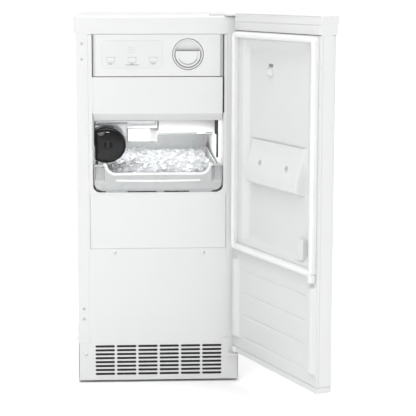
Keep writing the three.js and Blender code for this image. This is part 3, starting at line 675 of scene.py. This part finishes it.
def screw_head(name, x, z, y_front, y_back, radius, node):
    """A low head whose cross recess is drawn as two dark bars on its face, painted shade, in place of the node if
    one is given.
    """
    profile = [(0, y_back), (radius, y_back), (radius, y_front + 0.9),
               (radius * 0.8, y_front + 0.25), (radius * 0.4, y_front), (0, y_front)]
    head = turned(name, profile, (x, 0, z), sides=28)
    slots = [block(x - w, x + w, y_front - 0.05, y_front + 0.3, z - h, z + h)
             for w, h in ((radius * 0.55, 0.35), (0.35, radius * 0.55))]
    new_piece(name + "_head", head, "bright_steel", "cabinet", *([node] if node else []))
    new_piece(name + "_cross_shade", joined(name, slots), "black_plastic", "cabinet")


PLUG_HEIGHTS = (800.5, 765, 178.7, 154.7)


def add_plugs():
    """Snap-in hole plugs in the left flange, and a small stop on the side below them."""
    edge, front = -SIDE / MM, FRONT / MM
    profile = [(0, front + 1), (3.6, front + 1), (3.6, front - 0.2), (2.9, front - 0.6),
               (0, front - 0.7)]
    plugs = [turned("plug", profile, (edge + 14, 0, z), sides=24) for z in PLUG_HEIGHTS]
    new_piece("flange_plugs", joined("flange_plugs", plugs), "bin_plastic", "cabinet")
    knob = turned("knob", [(0, 2), (2.6, 2), (2.6, -0.6), (1.8, -1.2), (0, -1.3)],
                  (edge + 0.4, front + 9, 105.6), axis="Z", sides=20)
    new_piece("side_stop", knob, "bin_plastic", "cabinet")


def add_hinge_covers():
    """White enamelled hinge plates in the nodes' own shape."""
    for node in ("upper_hinge", "lower_hinge"):
        new_piece(node + "_plate", own_shape(node), "painted_steel", "cabinet", node)


def own_shape(node):
    """The node's own shape as a fresh mesh in millimetres."""
    mesh = NODES[node].data.copy()
    mesh.transform(Matrix.Scale(1 / MM, 4))
    return mesh


def add_seam_strips():
    """Folded sheet edges seen at the bottom of the narrow seams, and black strips beside panels that paint the
    shade in their gaps.
    """
    front, side = FRONT / MM, SIDE / MM
    cap, fascia, cover = span("top_cap"), span("control_fascia"), span("evaporator_cover")
    upper, lower, edge = span("upper_front_panel"), span("service_panel"), span("front_frame")
    reaches = [(-side + 1, side - 1, 0.3, 1.2, cap[4] - 1.6, cap[4] + 1.6)]
    for s in (-1, 1):
        x = s * edge[1]
        reaches.append((x - 1.4, x + 1.4, 0.8, 1.4, edge[4], edge[5]))
        inner, outer = sorted((s * (upper[1] - 1.5), s * (edge[1] + 1.5)))
        reaches.append((inner, outer, 0.4, 1.1, lower[4] - 1, upper[5] + 1))
    reaches += [(-side + 2, side - 2, 0.4, 1.1, lower[4] - 2, lower[4] + 1),
                (upper[0] + 1, upper[1] - 1, 0.5, 1.1, upper[5] - 1, upper[5] + 2),
                (upper[0] + 1, upper[1] - 1, 1.0, 1.4, upper[4] - 1.6, upper[4] + 0.6),
                (cover[0] - 2.2, cover[0] + 0.5, 0.6, 2.0, 640, cover[5])]
    # black strips in the gaps beside the evaporator cover and the fascia: painted shade
    gap_shades = [(cover[1] - 0.4, cover[1] + 3.4, -0.4, 0.6, 641, cover[5] + 0.6),
             (fascia[1] - 0.2, fascia[1] + 2.2, -0.3, 0.6, fascia[4], fascia[5]),
             (fascia[0] - 1.4, fascia[0] + 0.2, -0.2, 0.6, fascia[4], fascia[5])]
    for name, slot, boxes in (("seam_strips", "painted_steel", reaches),
                              ("fascia_gap_shade", "black_plastic", gap_shades)):
        strips = [block(x0, x1, front + y0, front + y1, z0, z1)
                  for x0, x1, y0, y1, z0, z1 in boxes]
        new_piece(name, joined(name, strips), slot, "cabinet")


# ---- ice bin, scoop and ice
LIP_LOW, LIP_HIGH, LIP_CURL = 496.5, 519.0, 24.5
LIP_LEVEL, LIP_SHOULDER = 98, 122
BIN_BOTTOM, BIN_CORNER = 458, 22


def lip_height(x):
    """Height of the bin's front edge at x: level in the middle, curling up to the shoulders."""
    u = abs(x)
    if u <= LIP_LEVEL:
        return LIP_LOW
    if u >= LIP_SHOULDER:
        return LIP_HIGH
    t = (u - LIP_LEVEL) / (LIP_SHOULDER - LIP_LEVEL)
    return LIP_LOW + LIP_CURL * (1 - math.sqrt(max(0, 1 - t ** 2.1)))


def bin_tub(x0, x1, y0, y1, z0, z1):
    """Open tub with rounded corners whose front edge sits below the rolled lip."""
    def row(inset, z, follow=True):
        loop = dense(rounded_loop(x0, x1, y0, y1, 20, 5), 12)
        points = []
        for x, y in loop:
            cx, cy = (x0 + x1) / 2, (y0 + y1) / 2
            sx, sy = (x1 - x0) / 2, (y1 - y0) / 2
            px = cx + (x - cx) * (sx - inset) / sx
            py = cy + (y - cy) * (sy - inset) / sy
            top = lip_height(x) - 1.5 if y < y0 + 22 else z1
            points.append((px, py, min(z, top - (z1 - z)) if follow else z))
        return points
    return loft("tub", [row(7, z0, False), row(2.5, z0 + 1.5, False), row(0, z0 + 7, False),
                        row(0, z1 - 1.2), row(0.8, z1), row(2.2, z1), row(3, z1 - 1.2),
                        row(3, z0 + 9, False), row(6, z0 + 4, False), row(10, z0 + 3, False)])


def bin_surface(front, half):
    """Front face of the bin as y over (x, z): slightly bowed, with a recess at each end."""
    def surface(x, z):
        u = abs(x)
        bow = 2.0 * (1 - (u / half) ** 2)
        post = ease((u - 124.5) / 2) * ease((half - 1.5 - u) / 3) * ease((z - 479) / 12)
        roll = 3.5 * (1 - ease((z - BIN_BOTTOM) / 7))
        corner = 3.0 * ease((u - half + 3) / 3)
        return front - bow + 10 * post + roll + corner
    return surface


def bin_front(x0, x1, front):
    """Moulded front with round lower corners and the dipped top edge."""
    def bottom_at(x):
        over = max(0, abs(x) - (x1 - BIN_CORNER))
        return BIN_BOTTOM + BIN_CORNER - math.sqrt(max(0, BIN_CORNER ** 2 - over ** 2))
    surface = bin_surface(front, x1)
    xs = stations(x0, x1, 6, 1.1, [(x0, x0 + 27), (-112, -98), (98, 112), (x1 - 27, x1)])
    rows_front, rows_back = [], []
    for k in range(27):
        t = k / 26
        front_row, back_row = [], []
        for x in xs:
            bottom, top = bottom_at(x), lip_height(x)
            z = bottom + (top - bottom) * t
            y = surface(x, z)
            front_row.append((x, y, z))
            back_row.append((x, y + 2.6, z))
        rows_front.append(front_row)
        rows_back.append(back_row)
    return sheet("bin_front", rows_front, rows_back)


def add_bin():
    """Pull-out bin: tub, front and feet in one moulding; the lip and rib take a lighter copy of its colour, a
    painted highlight.
    """
    x0, x1, y0, y1, z0, z1 = span("ice_bin")
    floor = span("compartment_liner")[4] + 3
    front = y0 + 3
    tub = bin_tub(x0 + 8.4, x1 - 8.4, front + 6, y1, z0, 513)
    face = bin_front(x0, x1, front + 0.6)
    lip_xs = stations(-127, 127, 8, 1.2, [(-127, -96), (96, 127)])
    lip_path = [(x, lip_height(x) + 0.4) for x in lip_xs]
    lip_section = [(4.0 * math.sin(a), front + 4.2 + 5.6 * math.cos(a))
                   for a in [math.radians(20 * k) for k in range(18)]]
    lip = swept("lip", lip_path, lip_section)
    rib_path = [(x, 483 - 1.2 * (1 - (x / 98) ** 2)) for x in range(-98, 99, 7)]
    rib_section = [(2.9 * math.sin(a), front - 0.2 + 2.9 * math.cos(a))
                   for a in [math.radians(24 * k) for k in range(15)]]
    rib = swept("rib", rib_path, rib_section)
    back = block(-70, x1 - 9.5, y1 - 3.5, y1 - 0.2, z0 + 8, z1, 1.0)
    tops = [block(s * 137 - 11.5, s * 137 + 11.5, front + 1.2, front + 16, 515.5, 519.5, 1.2)
            for s in (-1, 1)]
    feet = [block(a, b, front + 3, front + 14, floor - 1.6, z0 + 2.5, 0.8)
            for a, b in ((-123, -71), (-4, 14), (72, 125))]
    whole = joined("ice_bin_moulding", [tub, face, back] + tops + feet)
    new_piece("ice_bin_moulding", whole, "bin_plastic", "ice_bin", "ice_bin")
    # lip and rib in the lighter copy of the bin plastic: painted highlight
    new_piece("ice_bin_rim", joined("ice_bin_rim", [lip, rib]), "bin_plastic", "ice_bin",
              material=BIN_RIM_HIGHLIGHT)


SCOOP_FLAT = -147.0


def scoop_section(cx, cz, round_, tall, inset, y):
    """D-shaped outline at y; the flat is towards the wall."""
    start = math.acos((SCOOP_FLAT - cx) / round_)
    arc = []
    for k in range(49):
        a = -start + 2 * start * k / 48
        arc.append((cx + (round_ - inset) * math.cos(a), cz + (tall - inset) * math.sin(a)))
    flat = [(arc[-1][0] + (arc[0][0] - arc[-1][0]) * k / 10,
             arc[-1][1] + (arc[0][1] - arc[-1][1]) * k / 10) for k in range(1, 10)]
    return [(x, y(x) if callable(y) else y, z) for x, z in arc + flat]


def add_scoop():
    """Black scoop hanging mouth inwards, with a domed end and a knob towards the front."""
    x0, x1, y0, y1, z0, z1 = span("ice_scoop")
    tall = (z1 - z0) / 2
    cz = (z0 + z1) / 2
    round_ = tall * 1.1
    cx = x1 - round_
    shoulder = y0 + 16

    def part(inset, y):
        return scoop_section(cx, cz, round_, tall, inset, y)

    def mouth(x):
        return y1 - 46 * ease((cx + 20 - x) / 40)

    def mouth_lip(x):
        return mouth(x) - 2

    def dome(k):
        return part(tall * (1 - k), shoulder + 1 - 10 * (1 - k ** 3) ** 0.6)

    rows = [dome(k) for k in (0.03, 0.2, 0.4, 0.55, 0.68, 0.78, 0.86, 0.92, 0.96, 0.985, 1.0)]
    rows += [part(0, shoulder + 60), part(0, mouth_lip), part(0.6, mouth), part(2, mouth),
             part(2.6, mouth_lip), part(2.6, shoulder + 6), part(6, shoulder + 2),
             part(tall * 0.5, shoulder + 1)]
    bowl = loft("bowl", rows)
    knob = turned("knob", [(0, shoulder), (11, shoulder - 8.7), (8.8, shoulder - 9.7),
                           (7.6, shoulder - 11), (7.2, y0 + 4.4), (6.4, y0 + 2.6), (5, y0 + 1.3),
                           (3.4, y0 + 0.55), (1.7, y0 + 0.12), (0, y0)], (cx + 4, 0, cz), sides=40)
    new_piece("ice_scoop_moulding", joined("ice_scoop_moulding", [bowl, knob]), "black_gloss",
              "ice_scoop", "ice_scoop")


def ice_cube(rng, x, y, z, size):
    """One cube, a little tapered and rounded, turned at random."""
    work = bmesh.new()
    bmesh.ops.create_cube(work, size=1)
    wide, long_, tall = (size * rng.uniform(0.85, 1.1) for _ in range(3))
    for v in work.verts:
        taper = 0.86 if v.co.z > 0 else 1.0
        v.co = (v.co.x * wide * taper, v.co.y * long_ * taper, v.co.z * tall * 0.72)
    bmesh.ops.bevel(work, geom=work.edges[:], offset=size * 0.07, segments=2, profile=0.6,
                    affect="EDGES")
    turn = Matrix.Rotation(rng.uniform(0, 6.28), 4, "Z")
    tip = Matrix.Rotation(rng.gauss(0, 0.55), 4, "X") @ Matrix.Rotation(rng.gauss(0, 0.55), 4, "Y")
    work.transform(Matrix.Translation((x, y, z)) @ turn @ tip)
    mesh = bpy.data.meshes.new("cube")
    work.to_mesh(mesh)
    work.free()
    return mesh


def heap_height(x, y, y0):
    """Top of the ice: gently waved, dropping towards the front lip."""
    return LIP_LOW + 0.5 + 11 * ease((y - y0) / 60) + 3 * math.sin(x / 31) * math.cos(y / 37)


def add_ice():
    """Loose cubes in three layers to just below the front lip; the lowest pass the floor."""
    rng = random.Random(7)
    x0, x1, y0, y1, z0, z1 = span("ice_bin")
    cubes = []
    size, step = 20, 19.5
    for layer, drop in enumerate((31, 16, 0)):
        y = y0 + 24 + 6 * layer
        row = 0
        while y < y1 - 16:
            x = x0 + 20 + (row % 2) * step / 2
            while x < x1 - 18:
                px, py = x + rng.uniform(-3.5, 3.5), y + rng.uniform(-3.5, 3.5)
                top = heap_height(px, py, y0)
                if layer < 2 or rng.random() > 0.12:
                    cubes.append(ice_cube(rng, px, py, top - 7 - drop + rng.uniform(-2.5, 2.5),
                                          size))
                x += step
            y += step * 0.92
            row += 1
    new_piece("ice_cubes", joined("ice_cubes", cubes), None, "ice_bin", material=ICE)


# ---- door
TRAY, TRAY_DEPTH = (-150, 150, 341, 814), 10
RAIL_AT, RAIL_HALF, RAIL_HEIGHT = 169, 14, 10
GROOVE_HALF, GROOVE_HEIGHTS, GROOVE_DEPTH = 138, (121, 173, 225, 279), 1.3


def liner_surface(base):
    """Inner face of the door as y over (x, z): a soft-edged tray, two rails, shallow grooves."""
    def surface(x, z):
        y = base - TRAY_DEPTH * ease(inside_distance(x, z, *TRAY, 16) / 24)
        for s in (-RAIL_AT, RAIL_AT):
            inside = inside_distance(x, z, s - RAIL_HALF, s + RAIL_HALF, 113, 308, 8)
            y += RAIL_HEIGHT * ease(inside / 9) ** 0.7
        for k in GROOVE_HEIGHTS:
            inside = inside_distance(x, z, -GROOVE_HALF, GROOVE_HALF, k - 3.5, k + 3.5, 2)
            y -= GROOVE_DEPTH * ease(inside / 3)
        return y - 1.6 * ease((abs(x) - 184) / 2)
    return surface


def add_door_liner():
    """Formed sheet behind the gasket, from edge to edge of the door."""
    x0, x1, y0, y1, z0, z1 = span("door_liner", door=True)
    base = span("door_skin", door=True)[3]
    xs = stations(x0, x1, 14, 1.3, [(x0, x0 + 62), (x1 - 62, x1)])
    zs = stations(z0, z1, 14, 1.3, [(111, 128), (168, 178), (220, 230), (274, 284), (303, 368),
                                    (788, 816)])
    mesh = field("door_liner", xs, zs, liner_surface(base), -2.5)
    # the door's inner face takes the darker copy of the liner plastic: painted shade
    new_piece("door_liner_sheet", mesh, "liner_plastic", "door", "door_liner", door=True,
              material=DOOR_SHEET_SHADED)


def add_gasket():
    """Hollow seal of even section round the tray, with a short pad below its free corner."""
    x0, x1, y0, y1, z0, z1 = span("door_gasket", door=True)
    half = 6.25
    y1 -= 0.4
    loop = dense(rounded_loop(x0 + half, x1 - half, z0 + half, z1 - half, 5, 5), 40)
    profile = [(half, y0), (-half, y0), (-half, y1 - 4), (0.9 - half, y1 - 1.6),
               (3 - half, y1 - 0.3), (0, y1), (half - 3, y1 - 0.3), (half - 0.9, y1 - 1.6),
               (half, y1 - 4)]
    pad = block(x0, x0 + 2 * half, y0, y1, z0 - 12, z0 + 4, 2)
    new_piece("gasket_ring", joined("gasket", [swept("gasket_ring", loop, profile, True), pad]),
              "gasket_rubber", "door", "door_gasket", door=True)


SOCKET_AT, SOCKET_Z, SOCKET_DEPTH = 58, 539, 12


def deflector_surface(base, x1, z0, z1):
    """Bulge of the ice deflector as y over (x, z), with two sockets sunk into it."""
    def surface(x, z):
        t = (z1 - z) / (z1 - z0)
        if t < 0.86:
            bulge = 4 + 18 * ease(t / 0.86) ** 0.9
        else:
            bulge = 22 * (1 - ease((t - 0.86) / 0.16) ** 2)
        y = base + bulge * ease((x1 - abs(x) + 0.5) / 9)
        for s in (-SOCKET_AT, SOCKET_AT):
            reach = math.hypot((x - s) / 8, (z - SOCKET_Z) / 9)
            y -= SOCKET_DEPTH * (1 - ease((reach - 0.55) / 0.45))
        return y
    return surface


def add_deflector():
    """Thin bulging shell on the door that keeps the ice in."""
    x0, x1, y0, y1, z0, z1 = span("ice_deflector", door=True)
    xs = stations(x0, x1, 8, 1.0, [(x0, x0 + 12), (-68, -48), (48, 68), (x1 - 12, x1)])
    zs = stations(z0, z1, 6, 1.1, [(z0, z0 + 20), (528, 550), (z1 - 4, z1)])
    mesh = field("deflector", xs, zs, deflector_surface(y0, x1, z0, z1), -1.8)
    # the deflector takes the darker copy of the liner plastic: painted shade
    new_piece("deflector_shell", mesh, "liner_plastic", "door", "ice_deflector", door=True,
              material=DOOR_SHEET_SHADED)


def add_door_fittings():
    """Hook and latch block on the inner face of the door, with flat dark plates by them that paint the shade of a
    pocket, a slot and a small hole.
    """
    mx0, mx1, my0, my1, mz0, mz1 = span("door_magnet", door=True)
    mid = (mx0 + mx1) / 2
    rows = []
    for inset, y in ((0, my0 - 1), (0, my0 + 2), (1.5, my0 + 7), (4, my0 + 9)):
        low, high = mz0 + 6 + inset, mz1 - 14 - inset
        rows.append([(mx0 + inset, y, low), (mx1 - inset, y, low),
                     (mid + 7 - inset, y, high), (mid - 7 + inset, y, high)])
    new_piece("door_hook", loft("hook", rows), "liner_plastic", "door", "door_magnet", door=True,
              material=FINISHES["white_plastic"])
    # dark plates, painted shade: the hook's pocket, a slot beside the latch and a small hole
    pocket = plate("pocket", [rounded_loop(mid - 9, mid + 9, mz1 - 12, mz1 - 5, 3)],
                   my0 - 0.4, 0.9, 0.2)
    cx0, cx1, cy0, cy1, cz0, cz1 = span("door_clip", door=True)
    latch = [block(cx0, cx1, cy0 - 1, cy1 - 3, cz0, cz1, 2),
             block(cx0 + 4, cx1 - 4, cy1 - 3.6, cy1 - 2.2, cz0 + 5, cz1 - 5, 0.8)]
    # the latch takes the darker copy of the liner plastic: painted shade
    new_piece("door_latch", joined("door_latch", latch), "white_plastic", "door", "door_clip",
              door=True, material=DOOR_SHEET_SHADED)
    slot = plate("slot", [rounded_loop(cx0 - 8, cx0 - 4, cz0 + 1, cz1 - 2, 1.5)],
                 cy0 - 0.2, 0.9, 0.2)
    dot = turned("dot", [(0, cy0 - 1), (2.4, cy0 - 1), (2.4, cy0 + 0.6), (0, cy0 + 0.9)],
                 (cx0 - 7, 0, cz1 + 22), sides=20)
    new_piece("door_recess_shade", joined("door_recess_shade", [pocket, slot, dot]), None, "door",
              door=True, material=INK_AND_SHADE)


def add_door_top():
    """Grip along the top edge: a shallow outer lip, a groove and a dark parting line."""
    x0, x1, y0, y1, z0, z1 = span("door_top_grip", door=True)
    outer = span("door_skin", door=True)[2]
    inner = span("door_skin", door=True)[3]
    soft = 3
    profile = [(inner - soft, z0), (inner, z0 + 0.6), (inner, 849.4), (inner - 1.2, 850.2),
               (inner - 1.2, 851.8), (inner, 852.6), (inner, z1 - 3.4), (inner - 1.4, z1 - 2.8),
               (inner - 1.4, z1 - 1.8), (inner - 0.4, z1 - 1.2), (inner - 1.2, z1),
               (outer + 1.5, z1), (outer - 1.2, z1 - 0.8), (outer - 2.4, z1 - 3.5),
               (outer - 2.4, z1 - 13), (outer - 1.4, z1 - 16), (outer, z1 - 18), (outer, z0)]
    rows = []
    for x, inset in ((x0, 2.2), (x0 + 0.6, 0.8), (x0 + 2, 0), (x1 - 2, 0), (x1 - 0.6, 0.8),
                     (x1, 2.2)):
        mid_y, mid_z = (inner + outer) / 2, (z0 + z1) / 2
        rows.append([(x, y + (mid_y - y) * inset / 20, z + (mid_z - z) * inset / 60)
                     for y, z in profile])
    new_piece("door_top_moulding", loft("door_top", rows), "white_plastic", "door",
              "door_top_grip", door=True)


def add_door_folds():
    """Grey strip down the free end face that paints the shade of the skin's fold, and the sheet behind its top
    seam.
    """
    x0, x1, y0, y1, z0, z1 = span("door_skin", door=True)
    fold = block(x0 - 0.12, x0 + 0.3, y1 - 4.6, y1 - 3.9, z0, z1)
    new_piece("skin_fold_shade", fold, "bin_plastic", "door", door=True)
    seam = block(x0 + 0.25, x0 + 1.2, y0 + 14, y1 - 0.4, z1 - 2, z1 + 2.4)
    new_piece("skin_seam", seam, "painted_steel", "door", door=True)


def add_wall_guide():
    """Guide at the front of the compartment's right wall, and black strips by it that paint the shade in the gap.
    """
    x0, x1, y0, y1, z0, z1 = span("compartment_liner")
    tank = span("water_reservoir")
    low = span("ice_scoop")[4] + 10
    guide = block(tank[1] + 4.5, x1 - 2.4, y0 + 2, y0 + 22, low, tank[5] + 1, 1.2)
    new_piece("wall_guide", guide, "liner_plastic", "cabinet")
    # black strips between the reservoir and the wall: painted shade of the gap
    seal = [block(tank[1] - 3.6, tank[1] + 4.9, y0 + 5, y0 + 9, tank[4] - 1, tank[5] + 1, 0.5),
            block(tank[1] + 0.4, tank[1] + 4.9, y0 + 5, y0 + 9, low + 1, tank[4] + 1, 0.5)]
    new_piece("wall_gap_shade", joined("wall_gap_shade", seal), "black_plastic", "cabinet")


def add_details():
    """Everything that is drawn here instead of, or on top of, the nodes."""
    add_top_cap()
    add_wall_guide()
    add_overlay()
    add_filter_cap()
    add_toe_grille()
    add_screws()
    add_plugs()
    add_hinge_covers()
    add_seam_strips()
    add_bin()
    add_scoop()
    add_ice()
    add_door_liner()
    add_gasket()
    add_deflector()
    add_door_fittings()
    add_door_top()
    add_door_folds()


# ---- stage, lights and camera
CAMERA_PLACE = Vector((-0.0912, FRONT - 2.9967, 0.9263))
CAMERA_TURN = math.radians(2.66)
CAMERA_DIP = math.radians(7.61)
CAMERA_LENS = 112.7
CAMERA_SHIFT = (0.07, -0.11)
FLOOR_REACH = 500


def add_camera():
    """A long lens a little left of the machine and just above its top."""
    data = bpy.data.cameras.new("camera")
    data.sensor_width = 36
    data.lens = CAMERA_LENS
    data.shift_x, data.shift_y = CAMERA_SHIFT
    camera = placed("camera", data)
    camera.location = CAMERA_PLACE
    camera.rotation_euler = (math.radians(90) - CAMERA_DIP, 0, -CAMERA_TURN)
    bpy.context.scene.camera = camera


def add_floor():
    """Plain pale floor that runs to the horizon."""
    mesh = bpy.data.meshes.new("studio_floor")
    corners = [(x * FLOOR_REACH, y * FLOOR_REACH, 0)
               for x, y in ((-1, -1), (1, -1), (1, 1), (-1, 1))]
    mesh.from_pydata(corners, [], [(0, 1, 2, 3)])
    mesh.materials.append(FLOOR)
    placed("studio_floor", mesh)


def add_softbox(name, place, aim, width, height, power):
    """A rectangular light in watts, unseen by the camera itself."""
    data = bpy.data.lights.new(name, "AREA")
    data.shape = "RECTANGLE"
    data.size = width
    data.size_y = height
    data.energy = power
    light = placed(name, data)
    light.location = place
    light.visible_camera = False
    light.rotation_euler = (Vector(aim) - Vector(place)).to_track_quat("-Z", "Y").to_euler()


def add_skylight():
    """Very soft light from straight above, which keeps the floor bright to the horizon."""
    data = bpy.data.lights.new("skylight", "SUN")
    data.energy = 4.6
    data.angle = math.radians(80)
    placed("skylight", data)


def add_lights():
    """White surroundings, brightest at the horizon, softboxes in front and in the compartment."""
    world = bpy.data.worlds.new("studio")
    world.use_nodes = True
    nodes, links = world.node_tree.nodes, world.node_tree.links
    parts = nodes.new("ShaderNodeSeparateXYZ")
    links.new(nodes.new("ShaderNodeTexCoord").outputs["Generated"], parts.inputs["Vector"])
    fade = nodes.new("ShaderNodeMapRange")
    fade.inputs["From Max"].default_value = 0.5
    fade.inputs["To Min"].default_value = 1.05
    fade.inputs["To Max"].default_value = 0.2
    links.new(parts.outputs["Z"], fade.inputs["Value"])
    links.new(fade.outputs["Result"], nodes["Background"].inputs["Strength"])
    nodes["Background"].inputs["Color"].default_value = (1, 1, 1, 1)
    bpy.context.scene.world = world
    bpy.context.scene.view_settings.view_transform = "Standard"
    add_skylight()
    add_softbox("front_softbox", (-1.0, -3.0, 1.75), (0, 0.1, 0.5), 1.4, 1.0, 28.5)
    add_softbox("kicker", (0.03, -2.94, 1.97), (-0.12, FRONT, 0.56), 0.34, 0.08, 6)
    liner = span("compartment_liner")
    top, mid = span("ice_scoop")[5] * MM - 0.02, (liner[2] + liner[3]) / 2 * MM
    front_fill = (0.02, FRONT + 0.03, top - 0.035)
    add_softbox("compartment_front_fill", front_fill, (0, mid, top - 0.04), 0.22, 0.09, 0.15)
    add_softbox("compartment_top_fill", (0, mid, top), (0, mid, 0), 0.26, 0.26, 0.78)


# ---- assembly
EDGE_WIDTHS = {
    "cabinet_shell": 0.6, "top_cap": 0.8, "front_frame": 1.2, "upper_front_panel": 1.2,
    "service_panel": 1.2, "control_fascia": 1.0, "evaporator_cover": 1.4, "door_skin": 0.5,
    "door_top_grip": 1.2, "door_bottom_cap": 1.0, "ice_deflector": 3.0, "door_magnet": 1.6,
    "door_clip": 1.2, "grid_bracket": 0.8, "water_reservoir": 0.8, "pump_housing": 2.0,
    "compressor": 2.0,
}


def finish_nodes():
    """Gives every node the finish of its slot and soft edges."""
    slots = {row["node"]: row["material_slot"] for row in frame["record"]["subparts"]}
    for name, obj in NODES.items():
        obj.data.materials.clear()
        obj.data.materials.append(FINISHES[slots[name]])
        soften(obj, EDGE_WIDTHS.get(name, 0.5) * MM)


add_camera()
add_floor()
add_lights()
finish_nodes()
add_details()
